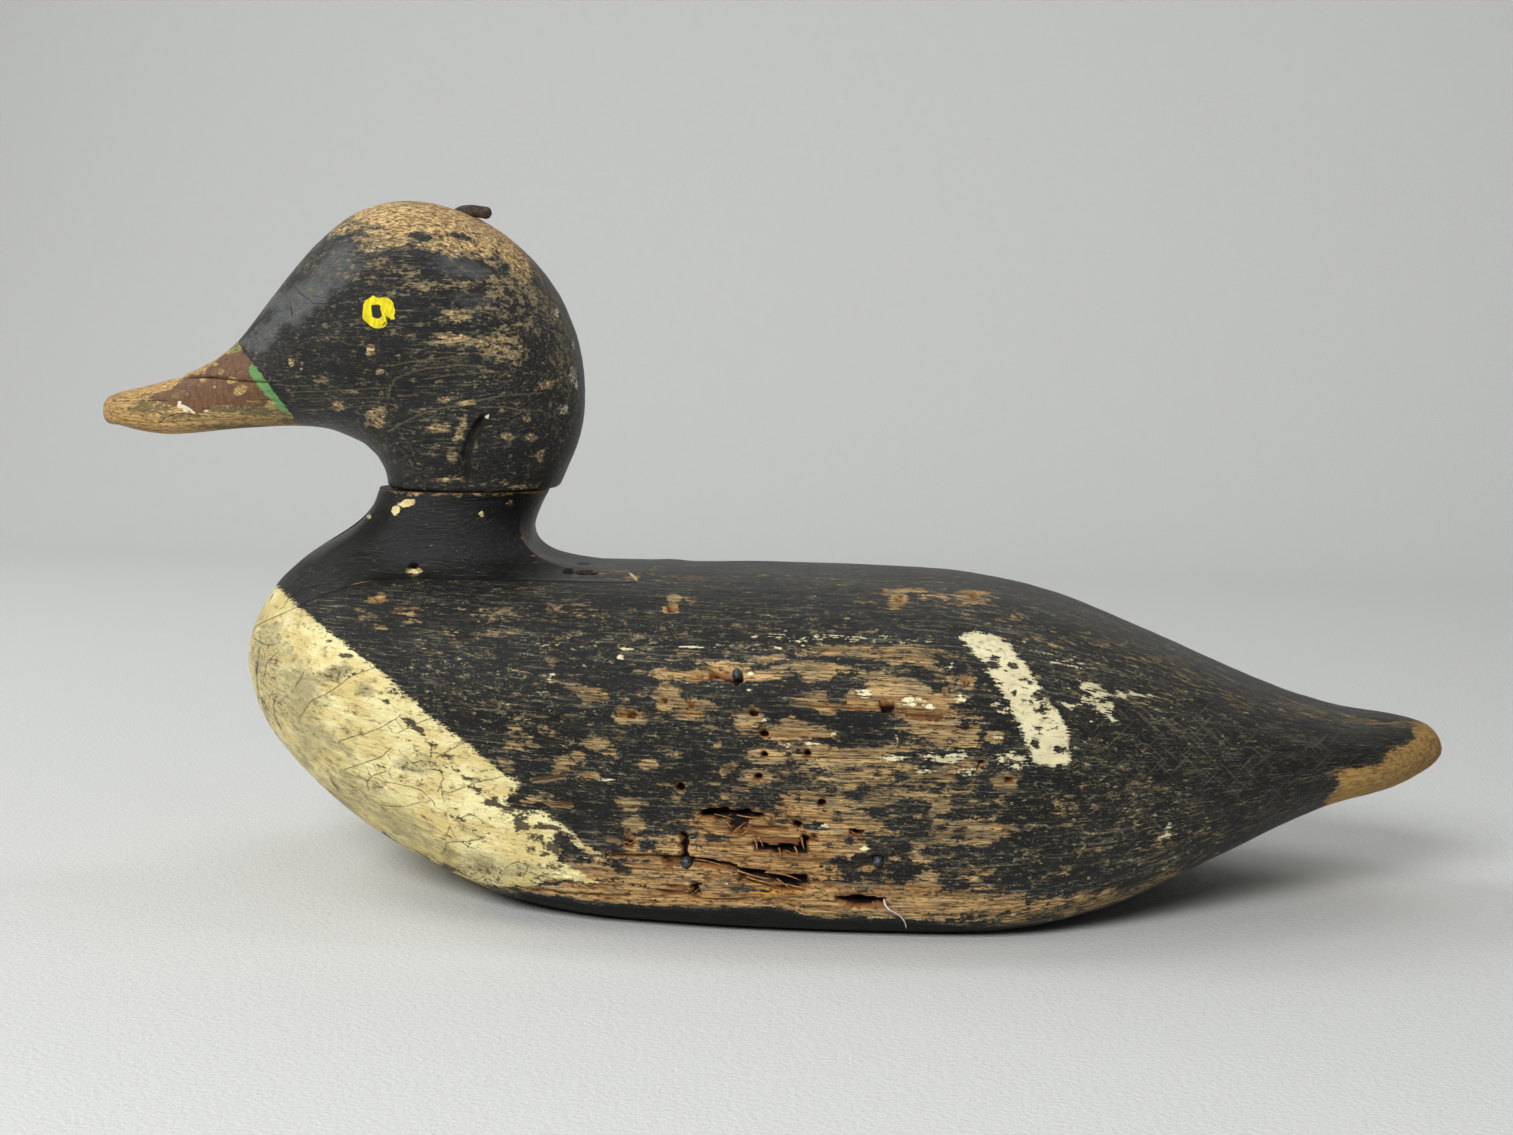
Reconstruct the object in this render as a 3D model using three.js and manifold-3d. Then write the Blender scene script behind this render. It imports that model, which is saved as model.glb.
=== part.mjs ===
// Goldeneye drake decoy: a carved and painted wooden working decoy.
// Millimetres, +Z up. The bill points to -X, the tail to +X, and the origin is under the middle
// of the decoy, on the surface that its flat underside stands on.
//
// Pieces: the solid body, the neck block let into its shoulders, the head with its bill,
// the spike hammered over in the crown, and three shot pellets lodged in the side.

import * as THREE from 'three';
import { mergeVertices } from 'three/addons/utils/BufferGeometryUtils.js';
import Module from 'manifold-3d';

const manifold = await Module();
manifold.setup();

// Driving sizes
const LENGTH = 380;                    // bill tip to tail tip
const BILL_TIP_X = -LENGTH / 2;
const TAIL_TIP_X = LENGTH / 2;
const BREAST_X = -145;                 // foremost point of the body
const JOINT_GAP = 0.3;                 // open joint between two fitted pieces
const SHOT_HOLE_PLAY = 0.4;            // a pellet's hole is this much wider all round

// Body: heights, half-widths and fullness along its length, as [x, value]
const BACK_HEIGHT = curve([
  [-145, 72], [-139, 78.6], [-129, 83], [-113, 85.8], [-95, 86.6], [-40, 86.4], [20, 86.8],
  [50, 86.3], [70, 83.8], [84, 80.6], [98, 75.8], [112, 70.2], [126, 64.2], [140, 58.6],
  [152, 54.5], [164, 51.6], [180, 49], [190, 44.5],
]);
const KEEL_HEIGHT = curve([
  [-145, 54], [-140, 43], [-132, 34], [-122, 26.5], [-110, 19], [-96, 11.5], [-82, 6],
  [-68, 2.2], [-54, 0], [-44, -0.3], [60, -0.3], [78, 0.2], [95, 2.2], [112, 6.8],
  [128, 13], [145, 20.8], [160, 26.8], [176, 30.8], [190, 38],
]);
const HALF_WIDTH = curve([
  [-145, 44], [-133, 50], [-118, 57], [-100, 64.5], [-75, 70.5], [-40, 74.5], [10, 76],
  [55, 74.5], [85, 69], [110, 59], [130, 48.5], [150, 36.5], [165, 29], [180, 22], [190, 16],
]);
const WIDEST_HEIGHT = curve([[-145, 58], [-120, 53], [-80, 46], [-20, 42], [40, 41], [190, 41]]);
const BACK_FULLNESS = curve([[-145, 2.1], [-100, 2.5], [0, 2.6], [80, 2.4], [140, 2.1], [190, 2]]);
const BILGE_FULLNESS = curve([
  [-145, 2], [-110, 2.5], [-75, 3.6], [-40, 5.4], [20, 6.6], [75, 6.6], [95, 5], [125, 3.2],
  [160, 2.4], [190, 2],
]);
const BREAST_ROUND = { rise: 14, side: 46 };   // how far back the breast's rounding runs
const TAIL_ROUND = { rise: 7, side: 26 };

// Neck block: its joint with the body, its rear end and its top
const SEAM_HEIGHT = curve([
  [-145, 60.5], [-144, 62], [-139.5, 67], [-131, 71.5], [-122, 75.5], [-114, 79.2],
  [-107, 82], [-99, 83.6], [-90, 84.1], [-28, 84.6],
]);
const BLOCK_REAR_X = -28;
const NECK_TOP = { x: -83, z: 107, halfLength: 24.6, halfWidth: 23 };

// Head: stations from the bill tip to the neck joint, each a slice across the head.
// Columns: top x and z, bottom x and z, half-width, widest place (0 bottom, 1 top), fullness
const HEAD_STATIONS = [
  [BILL_TIP_X, 131.2, BILL_TIP_X, 123.4, 8.2, 0.40, 2.3],
  [-179, 134.6, -179, 121.2, 10.2, 0.38, 2.4],
  [-167.5, 137.5, -167.5, 120.4, 10.9, 0.36, 2.4],
  [-156.5, 142.6, -155.5, 121.6, 11.8, 0.36, 2.3],
  [-148, 149, -146, 122.7, 13.8, 0.38, 2.2],
  [-139.4, 159.2, -137, 123.3, 17.4, 0.42, 2.1],
  [-129, 171.2, -128, 123.2, 21.6, 0.46, 2.1],
  [-116, 183, -121, 122.3, 25.4, 0.50, 2.15],
  [-101, 187.9, -115.5, 120.3, 28, 0.52, 2.2],
  [-85, 185.4, -111.5, 118.6, 29.3, 0.52, 2.25],
  [-68.5, 176.2, -109.2, 116.9, 29.8, 0.52, 2.25],
  [-55.6, 160.6, -107.4, 115.2, 29.2, 0.52, 2.25],
  [-49.6, 143, -106.2, 113.2, 27.6, 0.50, 2.2],
  [-49.3, 125.5, -105.4, 110.8, 25.4, 0.50, 2.1],
  [-56, NECK_TOP.z + JOINT_GAP, -105, NECK_TOP.z + JOINT_GAP, 23.4, 0.50, 2],
];
const BILL_TIP_ROUND = { rise: 2.5, side: 7 };

// Spike in the crown: up out of the head, then hammered over towards the tail
const SPIKE_RADIUS = 1.85;
const SPIKE_PATH = [[-87.6, 172], [-87.6, 178], [-87, 182], [-84, 184.5], [-79.5, 184.7], [-75.4, 184.1]];

// Shot pellets and the rotted cavities in the near side, as x and z on the flank
const PELLET_RADIUS = 1.6;
const PELLETS = [
  { name: 'shot_pellet_upper', x: 4.5, z: 66, sunk: 2.6 },
  { name: 'shot_pellet_lower_front', x: -7.2, z: 18.7, sunk: 1.9 },
  { name: 'shot_pellet_lower_rear', x: 41.3, z: 20.8, sunk: 1.8 },
];
const CAVITIES = [
  { x: 1.5, z: 66, length: 11, height: 3.6, depth: 4 },
  { x: -16.2, z: 56.1, length: 7, height: 2.4, depth: 2.5 },
  { x: 48, z: 59.4, length: 13, height: 2, depth: 2.5 },
  { x: 4.5, z: 31, length: 17, height: 3.6, depth: 5 },
  { x: 16.5, z: 23.6, length: 14, height: 6, depth: 5 },
  { x: 0.5, z: 18.8, length: 11, height: 3.6, depth: 4 },
  { x: 13.7, z: 15.2, length: 19, height: 4.5, depth: 3.5 },
  { x: 37.3, z: 9, length: 13, height: 3.6, depth: 3 },
];

// Facets
const BODY_STATIONS = 54;
const BODY_SIDES = 42;
const HEAD_RINGS = 38;
const HEAD_SIDES = 28;
const NECK_ROWS = 11;
const SEAM_STEPS = 17;
const REAR_STEPS = 4;

// A smooth curve through [x, value] points that never overshoots them
function curve(points) {
  const x = points.map((p) => p[0]);
  const y = points.map((p) => p[1]);
  const last = x.length - 1;
  const slope = (i) => (y[i + 1] - y[i]) / (x[i + 1] - x[i]);
  const tangent = x.map((_, i) => {
    if (i === 0) return slope(0);
    if (i === last) return slope(last - 1);
    const before = slope(i - 1);
    const after = slope(i);
    if (before * after <= 0) return 0;
    const weightBefore = 2 * (x[i + 1] - x[i]) + (x[i] - x[i - 1]);
    const weightAfter = (x[i + 1] - x[i]) + 2 * (x[i] - x[i - 1]);
    return (weightBefore + weightAfter) / (weightBefore / before + weightAfter / after);
  });
  return (at) => {
    const q = THREE.MathUtils.clamp(at, x[0], x[last]);
    let i = 0;
    while (i < last - 1 && q > x[i + 1]) i += 1;
    const h = x[i + 1] - x[i];
    const t = (q - x[i]) / h;
    return (1 + 2 * t) * (1 - t) ** 2 * y[i] + t * (1 - t) ** 2 * h * tangent[i]
      + t * t * (3 - 2 * t) * y[i + 1] + t * t * (t - 1) * h * tangent[i + 1];
  };
}

// A natural cubic spline: the smoothest curve through the points
function spline(x, y) {
  const last = x.length - 1;
  const bend = new Array(last + 1).fill(0);
  const carry = new Array(last + 1).fill(0);
  for (let i = 1; i < last; i += 1) {
    const share = (x[i] - x[i - 1]) / (x[i + 1] - x[i - 1]);
    const pivot = share * bend[i - 1] + 2;
    const turn = (y[i + 1] - y[i]) / (x[i + 1] - x[i]) - (y[i] - y[i - 1]) / (x[i] - x[i - 1]);
    bend[i] = (share - 1) / pivot;
    carry[i] = ((6 * turn) / (x[i + 1] - x[i - 1]) - share * carry[i - 1]) / pivot;
  }
  bend[last] = 0;
  for (let i = last - 1; i >= 0; i -= 1) bend[i] = bend[i] * bend[i + 1] + carry[i];
  return (q) => {
    let i = 0;
    while (i < last - 1 && q > x[i + 1]) i += 1;
    const h = x[i + 1] - x[i];
    const a = (x[i + 1] - q) / h;
    const b = 1 - a;
    return a * y[i] + b * y[i + 1] + ((a ** 3 - a) * bend[i] + (b ** 3 - b) * bend[i + 1]) * h * h / 6;
  };
}

// Quarter-round: 0 at the very end of a form, 1 from the given distance inwards
function round(distance, reach) {
  const u = THREE.MathUtils.clamp(distance / reach, 0, 1);
  return Math.sqrt(1 - (1 - u) ** 2);
}

// A closed body through rings of equal point counts, with a fan over each end
function loft(rings, startTip, endTip) {
  const sides = rings[0].length;
  const positions = rings.flat().flatMap((p) => [p.x, p.y, p.z]);
  const faces = [];
  for (let i = 0; i < rings.length - 1; i += 1) {
    for (let j = 0; j < sides; j += 1) {
      const next = (j + 1) % sides;
      const [a, b] = [i * sides + j, i * sides + next];
      const [c, d] = [a + sides, b + sides];
      faces.push(a, b, d, a, d, c);
    }
  }
  const startIndex = positions.length / 3;
  positions.push(startTip.x, startTip.y, startTip.z, endTip.x, endTip.y, endTip.z);
  const lastRing = (rings.length - 1) * sides;
  for (let j = 0; j < sides; j += 1) {
    const next = (j + 1) % sides;
    faces.push(startIndex, next, j, startIndex + 1, lastRing + j, lastRing + next);
  }
  const geometry = new THREE.BufferGeometry();
  geometry.setAttribute('position', new THREE.Float32BufferAttribute(positions, 3));
  geometry.setIndex(faces);
  return geometry;
}

function toSolid(geometry) {
  const bare = geometry.clone();
  bare.deleteAttribute('normal');
  bare.deleteAttribute('uv');
  const merged = mergeVertices(bare, 1e-4);
  return new manifold.Manifold(new manifold.Mesh({
    numProp: 3,
    vertProperties: new Float32Array(merged.attributes.position.array),
    triVerts: new Uint32Array(merged.index.array),
  }));
}

function toGeometry(solid) {
  const mesh = solid.getMesh();
  const geometry = new THREE.BufferGeometry();
  geometry.setAttribute('position', new THREE.BufferAttribute(new Float32Array(mesh.vertProperties), 3));
  geometry.setIndex(new THREE.BufferAttribute(new Uint32Array(mesh.triVerts), 1));
  geometry.computeVertexNormals();
  return geometry;
}

// The body's slice at x: its centre height, half-width and the heights above and below
function bodySlice(x) {
  const rise = round(x - BREAST_X, BREAST_ROUND.rise) * round(TAIL_TIP_X - x, TAIL_ROUND.rise);
  const side = round(x - BREAST_X, BREAST_ROUND.side) * round(TAIL_TIP_X - x, TAIL_ROUND.side);
  const middle = WIDEST_HEIGHT(x);
  return {
    middle,
    up: (BACK_HEIGHT(x) - middle) * rise,
    down: (middle - KEEL_HEIGHT(x)) * rise,
    half: HALF_WIDTH(x) * side,
    backFullness: BACK_FULLNESS(x),
    bilgeFullness: BILGE_FULLNESS(x),
  };
}

function bodyPoint(x, angle) {
  const s = bodySlice(x);
  const [c, n] = [Math.cos(angle), Math.sin(angle)];
  const fullness = n >= 0 ? s.backFullness : s.bilgeFullness;
  const radius = (Math.abs(c) ** fullness + Math.abs(n) ** fullness) ** (-1 / fullness);
  const z = s.middle + (n >= 0 ? s.up : s.down) * radius * n;
  return new THREE.Vector3(x, s.half * radius * c, Math.max(z, 0));
}

function bodyHalfWidthAt(x, z) {
  const s = bodySlice(x);
  const above = z >= s.middle;
  const fullness = above ? s.backFullness : s.bilgeFullness;
  const part = THREE.MathUtils.clamp(Math.abs(z - s.middle) / (above ? s.up : s.down), 0, 1);
  return s.half * (1 - part ** fullness) ** (1 / fullness);
}

function bodyTopAt(x, y) {
  const s = bodySlice(x);
  const part = THREE.MathUtils.clamp(Math.abs(y) / s.half, 0, 1);
  return s.middle + s.up * (1 - part ** s.backFullness) ** (1 / s.backFullness);
}

// Outward direction of the body's upper surface, from how its slice equation changes
function bodyNormal(point) {
  const step = 0.05;
  const level = (x, y, z) => {
    const s = bodySlice(x);
    return (Math.abs(y) / s.half) ** s.backFullness + (Math.abs(z - s.middle) / s.up) ** s.backFullness;
  };
  const { x, y, z } = point;
  return new THREE.Vector3(
    level(x + step, y, z) - level(x - step, y, z),
    level(x, y + step, z) - level(x, y - step, z),
    level(x, y, z + step) - level(x, y, z - step),
  ).normalize();
}

function bodyForm() {
  const rings = [];
  for (let i = 1; i < BODY_STATIONS; i += 1) {
    const x = BREAST_X + (TAIL_TIP_X - BREAST_X) * (1 - Math.cos((Math.PI * i) / BODY_STATIONS)) / 2;
    const ring = [];
    for (let j = 0; j < BODY_SIDES; j += 1) ring.push(bodyPoint(x, (2 * Math.PI * j) / BODY_SIDES));
    rings.push(ring);
  }
  const breastTip = new THREE.Vector3(BREAST_X, 0, WIDEST_HEIGHT(BREAST_X));
  const tailTip = new THREE.Vector3(TAIL_TIP_X, 0, WIDEST_HEIGHT(TAIL_TIP_X));
  return toSolid(loft(rings, breastTip, tailTip));
}

// Everything above the joint under the neck block, lowered or raised by half the joint's gap
function aboveSeam(shift, rearX) {
  const steps = 30;
  const top = NECK_TOP.z + 20;
  const outline = new THREE.Shape();
  outline.moveTo(BREAST_X - 15, SEAM_HEIGHT(BREAST_X) + shift);
  for (let i = 0; i <= steps; i += 1) {
    const x = BREAST_X + (rearX - BREAST_X) * Math.sin((Math.PI / 2) * (i / steps)) ** 2;
    outline.lineTo(x, SEAM_HEIGHT(x) + shift);
  }
  outline.lineTo(rearX, top);
  outline.lineTo(BREAST_X - 15, top);
  outline.closePath();
  const width = 200;
  const geometry = new THREE.ExtrudeGeometry(outline, { depth: width, bevelEnabled: false, steps: 1 });
  geometry.rotateX(Math.PI / 2);
  geometry.translate(0, width / 2, 0);
  return toSolid(geometry);
}

// The line where the neck block's sides meet the body, once around, seen from above
function seamLine() {
  const rearX = BLOCK_REAR_X + 2;
  const frontX = BREAST_X + 0.05;
  const side = (x) => new THREE.Vector3(x, bodyHalfWidthAt(x, SEAM_HEIGHT(x)), SEAM_HEIGHT(x));
  const corner = side(rearX).y;
  const half = [];
  for (let i = 0; i < REAR_STEPS; i += 1) {
    const y = (corner * i) / REAR_STEPS;
    half.push(new THREE.Vector3(rearX, y, bodyTopAt(rearX, y)));
  }
  for (let i = 0; i < SEAM_STEPS; i += 1) {
    half.push(side(rearX + (frontX - rearX) * Math.sin((Math.PI / 2) * (i / SEAM_STEPS))));
  }
  half.push(new THREE.Vector3(frontX, 0, SEAM_HEIGHT(frontX)));
  const other = half.slice(1, -1).reverse().map((p) => new THREE.Vector3(p.x, -p.y, p.z));
  return half.concat(other);
}

// One profile of the neck's flare, from the neck's top down to a point on the seam line
const FLARE_REACH = curve([[-1, 0.57], [-0.85, 0.48], [-0.3, 0.4], [0.5, 0.62], [1, 0.97]]);

function flareProfile(foot) {
  const angle = Math.atan2(foot.y, foot.x - NECK_TOP.x);
  const towardsTail = Math.cos(angle);
  const top = new THREE.Vector3(
    NECK_TOP.x + NECK_TOP.halfLength * Math.cos(angle),
    NECK_TOP.halfWidth * Math.sin(angle),
    NECK_TOP.z,
  );
  const outwards = -3.4 - 7.4 * towardsTail;
  const down = 14 + 4 * Math.max(-towardsTail, 0) ** 2 + 4.5 * Math.max(towardsTail, 0);
  const waist = top.clone().add(new THREE.Vector3(outwards * Math.cos(angle), outwards * Math.sin(angle), -down));
  const normal = bodyNormal(new THREE.Vector3(Math.max(foot.x, BREAST_X + 0.3), foot.y, foot.z));
  const rise = top.clone().sub(foot);
  const reach = FLARE_REACH(towardsTail) * rise.length();
  const along = rise.clone().addScaledVector(normal, -rise.dot(normal)).normalize();
  const apron = foot.clone().addScaledVector(along, reach);
  if (towardsTail > 0) apron.z = Math.min(apron.z, bodyTopAt(apron.x, apron.y));
  return new THREE.CubicBezierCurve3(top, waist, apron, foot);
}

function neckForm() {
  const profiles = seamLine().map(flareProfile);
  const rings = [];
  for (let row = 0; row < NECK_ROWS; row += 1) {
    rings.push(profiles.map((profile) => profile.getPoint(row / (NECK_ROWS - 1))));
  }
  // A skirt inside the body, cut away again at the seam
  rings.push(seamLine().map((p) => new THREE.Vector3(p.x + (-75 - p.x) * 0.08, p.y * 0.85, SEAM_HEIGHT(p.x) - 7)));
  const topMiddle = new THREE.Vector3(NECK_TOP.x, 0, NECK_TOP.z);
  const skirtMiddle = new THREE.Vector3(-80, 0, SEAM_HEIGHT(-80) - 12);
  rings.reverse();
  return toSolid(loft(rings, skirtMiddle, topMiddle));
}

function headForm() {
  const place = [0];
  for (let i = 1; i < HEAD_STATIONS.length; i += 1) {
    const [a, b] = [HEAD_STATIONS[i - 1], HEAD_STATIONS[i]];
    place.push(place[i - 1] + Math.sqrt(Math.hypot(b[0] - a[0], b[1] - a[1])));
  }
  const columns = HEAD_STATIONS[0].map((_, k) => spline(place, HEAD_STATIONS.map((row) => row[k])));
  const end = place[place.length - 1];
  const rings = [];
  for (let i = 1; i <= HEAD_RINGS; i += 1) {
    const q = end * (i / HEAD_RINGS) ** 1.15;
    const [topX, topZ, bottomX, bottomZ, half, widest, fullness] = columns.map((column) => column(q));
    const fromTip = (topX + bottomX) / 2 - BILL_TIP_X;
    const rise = round(fromTip, BILL_TIP_ROUND.rise);
    const side = round(fromTip, BILL_TIP_ROUND.side);
    const ring = [];
    for (let j = 0; j < HEAD_SIDES; j += 1) {
      const angle = (2 * Math.PI * j) / HEAD_SIDES;
      const [c, n] = [Math.cos(angle), Math.sin(angle)];
      const radius = (Math.abs(c) ** fullness + Math.abs(n) ** fullness) ** (-1 / fullness);
      const level = widest + (n >= 0 ? 1 - widest : widest) * rise * radius * n;
      ring.push(new THREE.Vector3(
        bottomX + (topX - bottomX) * level,
        half * side * radius * c,
        bottomZ + (topZ - bottomZ) * level,
      ));
    }
    rings.push(ring);
  }
  const first = HEAD_STATIONS[0];
  const tip = new THREE.Vector3(BILL_TIP_X, 0, first[3] + (first[1] - first[3]) * first[5]);
  const last = HEAD_STATIONS[HEAD_STATIONS.length - 1];
  const jointMiddle = new THREE.Vector3((last[0] + last[2]) / 2, 0, last[3]);
  return toSolid(loft(rings, tip, jointMiddle));
}

// The spike: a round bar along its path with a rounded end, or the hole that it sits in
function spikeForm(radius) {
  const path = new THREE.CatmullRomCurve3(SPIKE_PATH.map(([x, z]) => new THREE.Vector3(x, 0, z)), false, 'centripetal');
  const steps = 14;
  const sides = 10;
  const reach = path.getLength();
  const rings = [];
  for (let i = 0; i <= steps; i += 1) {
    const share = i / steps;
    const at = path.getPointAt(share);
    const ahead = path.getTangentAt(share);
    const upwards = new THREE.Vector3(-ahead.z, 0, ahead.x);
    const size = radius * Math.max(round((1 - share) * reach, SPIKE_RADIUS), 0.35);
    const ring = [];
    for (let j = 0; j < sides; j += 1) {
      const angle = (2 * Math.PI * j) / sides;
      const point = at.clone().addScaledVector(upwards, size * Math.sin(angle));
      point.y += size * Math.cos(angle);
      ring.push(point);
    }
    rings.push(ring);
  }
  const extra = radius - SPIKE_RADIUS;
  const foot = path.getPointAt(0).addScaledVector(path.getTangentAt(0), -extra);
  if (extra > 0) rings[0].forEach((p) => p.addScaledVector(path.getTangentAt(0), -extra));
  const tip = path.getPointAt(1).addScaledVector(path.getTangentAt(1), extra + 0.2);
  return toSolid(loft(rings, foot, tip));
}

function flankPoint(x, z, sunk) {
  return new THREE.Vector3(x, sunk - bodyHalfWidthAt(x, z), z);
}

function cavityForm({ x, z, length, height, depth }) {
  const geometry = new THREE.IcosahedronGeometry(1, 1);
  geometry.scale(length / 2, depth, height / 2);
  const centre = flankPoint(x, z, 0);
  geometry.translate(centre.x, centre.y, centre.z);
  return toSolid(geometry);
}

function pelletForm({ x, z, sunk }) {
  const geometry = new THREE.SphereGeometry(PELLET_RADIUS, 10, 7);
  const centre = flankPoint(x, z, sunk);
  geometry.translate(centre.x, centre.y, centre.z);
  return toSolid(geometry);
}

// The hole that a pellet made: round-bottomed, and open straight out of the flank
function shotHoleForm({ x, z, sunk }) {
  const depth = 10;
  const geometry = new THREE.CapsuleGeometry(PELLET_RADIUS + SHOT_HOLE_PLAY, depth, 3, 10, 1);
  geometry.translate(0, -depth / 2, 0);
  const centre = flankPoint(x, z, sunk);
  geometry.translate(centre.x, centre.y, centre.z);
  return toSolid(geometry);
}

function makeBody() {
  let solid = bodyForm().subtract(aboveSeam(-JOINT_GAP / 2, BLOCK_REAR_X + JOINT_GAP / 2));
  for (const cavity of CAVITIES) solid = solid.subtract(cavityForm(cavity));
  for (const pellet of PELLETS) solid = solid.subtract(shotHoleForm(pellet));
  return solid;
}

function makeNeck() {
  return neckForm().intersect(aboveSeam(JOINT_GAP / 2, BLOCK_REAR_X - JOINT_GAP / 2));
}

function makeHead() {
  return headForm().subtract(spikeForm(SPIKE_RADIUS + JOINT_GAP));
}

// Finishes
const BLACK_PAINT = { color: 0x2b2b2e, roughness: 0.62, metalness: 0 };
const RUSTED_IRON = { color: 0x4a342a, roughness: 0.85, metalness: 0.3 };
const DULL_LEAD = { color: 0x55565a, roughness: 0.6, metalness: 0.6 };

const decoy = new THREE.Group();

function addPiece(name, solid, finish) {
  const mesh = new THREE.Mesh(toGeometry(solid), new THREE.MeshStandardMaterial(finish));
  mesh.name = name;
  decoy.add(mesh);
}

addPiece('body', makeBody(), BLACK_PAINT);
addPiece('neck', makeNeck(), BLACK_PAINT);
addPiece('head', makeHead(), BLACK_PAINT);
addPiece('crown_spike', spikeForm(SPIKE_RADIUS), RUSTED_IRON);
for (const pellet of PELLETS) addPiece(pellet.name, pelletForm(pellet), DULL_LEAD);

export default decoy;
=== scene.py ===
import math

import bpy
import numpy as np
from mathutils import Matrix, Vector


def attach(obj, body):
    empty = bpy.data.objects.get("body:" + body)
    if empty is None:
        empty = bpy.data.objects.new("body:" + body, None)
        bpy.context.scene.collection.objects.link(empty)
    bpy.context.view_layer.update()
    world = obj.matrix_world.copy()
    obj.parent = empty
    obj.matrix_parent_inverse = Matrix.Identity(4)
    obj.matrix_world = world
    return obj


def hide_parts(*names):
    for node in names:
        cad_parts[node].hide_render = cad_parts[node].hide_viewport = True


# Goldeneye drake decoy in worn paint. The numbers are millimetres, and each mesh turns them
# into metres when it is made. The bill points to -X, and the near side, which has the rot,
# the shot and most of the wear, faces -Y.

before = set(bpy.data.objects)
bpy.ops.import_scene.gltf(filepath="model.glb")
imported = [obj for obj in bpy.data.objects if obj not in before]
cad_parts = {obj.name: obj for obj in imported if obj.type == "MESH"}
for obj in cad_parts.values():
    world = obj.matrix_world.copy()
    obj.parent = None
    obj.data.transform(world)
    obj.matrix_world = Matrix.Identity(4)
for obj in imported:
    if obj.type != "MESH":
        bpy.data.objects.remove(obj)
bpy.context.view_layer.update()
MM = 0.001

# Camera: a little above the floor, turned slightly towards the bill

CAMERA_PLACE = (78.2, -631.0, 153.0)
CAMERA_TURN = math.radians(7)
CAMERA_PITCH = math.radians(6)
CAMERA_ROLL = math.radians(0.7)
PHOTO_WIDTH = 1513
FOCAL_LENGTH_PIXELS = 2274
SENSOR_WIDTH = 36


def make_camera():
    turn, pitch, roll = CAMERA_TURN, CAMERA_PITCH, CAMERA_ROLL
    back = Vector((math.sin(turn) * math.cos(pitch), -math.cos(turn) * math.cos(pitch), math.sin(pitch)))
    level = Vector((math.cos(turn), math.sin(turn), 0))
    above = back.cross(level)
    right = math.cos(roll) * level + math.sin(roll) * above
    up = -math.sin(roll) * level + math.cos(roll) * above
    data = bpy.data.cameras.new("camera")
    data.sensor_width = SENSOR_WIDTH
    data.lens = SENSOR_WIDTH * FOCAL_LENGTH_PIXELS / PHOTO_WIDTH
    data.clip_start = 0.01
    data.clip_end = 20
    camera = bpy.data.objects.new("camera", data)
    axes = Matrix((right, up, back)).transposed()
    camera.matrix_world = Matrix.Translation(Vector(CAMERA_PLACE) * MM) @ axes.to_4x4()
    bpy.context.scene.collection.objects.link(camera)
    bpy.context.scene.camera = camera


make_camera()

# Driving sizes of the carving, close to those of the solids

BILL_TIP_X = -190
TAIL_TIP_X = 190
BREAST_X = -145
JOINT_GAP = 0.3


def curve(points):
    """A smooth curve through (x, value) points that never overshoots them."""
    x, y = np.array(points, float).T
    step = np.diff(x)
    slope = np.diff(y) / step
    tangent = np.zeros(len(x))
    tangent[0], tangent[-1] = slope[0], slope[-1]
    for i in range(1, len(x) - 1):
        if slope[i - 1] * slope[i] > 0:
            before = 2 * step[i] + step[i - 1]
            after = step[i] + 2 * step[i - 1]
            tangent[i] = (before + after) / (before / slope[i - 1] + after / slope[i])

    def value(at):
        q = np.clip(np.asarray(at, float), x[0], x[-1])
        i = np.clip(np.searchsorted(x, q, side="right") - 1, 0, len(x) - 2)
        h = x[i + 1] - x[i]
        t = (q - x[i]) / h
        level = (1 + 2 * t) * (1 - t) ** 2 * y[i] + t * t * (3 - 2 * t) * y[i + 1]
        return level + t * (1 - t) ** 2 * h * tangent[i] + t * t * (t - 1) * h * tangent[i + 1]

    return value


def spline(x, y):
    """The natural cubic spline through the points."""
    x, y = np.asarray(x, float), np.asarray(y, float)
    h = np.diff(x)
    system = np.eye(len(x))
    turn = np.zeros(len(x))
    for i in range(1, len(x) - 1):
        system[i, i - 1 : i + 2] = h[i - 1], 2 * (h[i - 1] + h[i]), h[i]
        turn[i] = 6 * ((y[i + 1] - y[i]) / h[i] - (y[i] - y[i - 1]) / h[i - 1])
    bend = np.linalg.solve(system, turn)

    def value(at):
        q = np.clip(np.asarray(at, float), x[0], x[-1])
        i = np.clip(np.searchsorted(x, q, side="right") - 1, 0, len(x) - 2)
        a = (x[i + 1] - q) / h[i]
        b = 1 - a
        curl = (a**3 - a) * bend[i] + (b**3 - b) * bend[i + 1]
        return a * y[i] + b * y[i + 1] + curl * h[i] ** 2 / 6

    return value


BACK_HEIGHT = curve([
    (-145, 72), (-139, 78.6), (-129, 83), (-113, 85.8), (-95, 86.6), (-40, 86.4), (20, 86.8),
    (50, 86.3), (70, 83.8), (84, 80.6), (98, 75.8), (112, 70.2), (126, 64.2), (140, 58.6), (152, 54.5),
    (164, 51.6), (180, 49.8), (190, 46.5),
])
KEEL_HEIGHT = curve([
    (-145, 54), (-140, 43), (-132, 34), (-122, 26.5), (-110, 19), (-96, 11.5), (-82, 6), (-68, 2.2),
    (-54, 0), (-44, -0.3), (60, -0.3), (78, 0.2), (95, 2.2), (112, 6.8), (128, 13), (145, 20.8),
    (160, 26.8), (176, 30.8), (190, 38),
])
HALF_WIDTH = curve([
    (-145, 44), (-133, 50), (-118, 57), (-100, 64.5), (-75, 70.5), (-40, 74.5), (10, 76), (55, 74.5),
    (85, 69), (110, 59), (130, 48.5), (150, 36.5), (165, 29), (180, 22), (190, 16),
])
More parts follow.
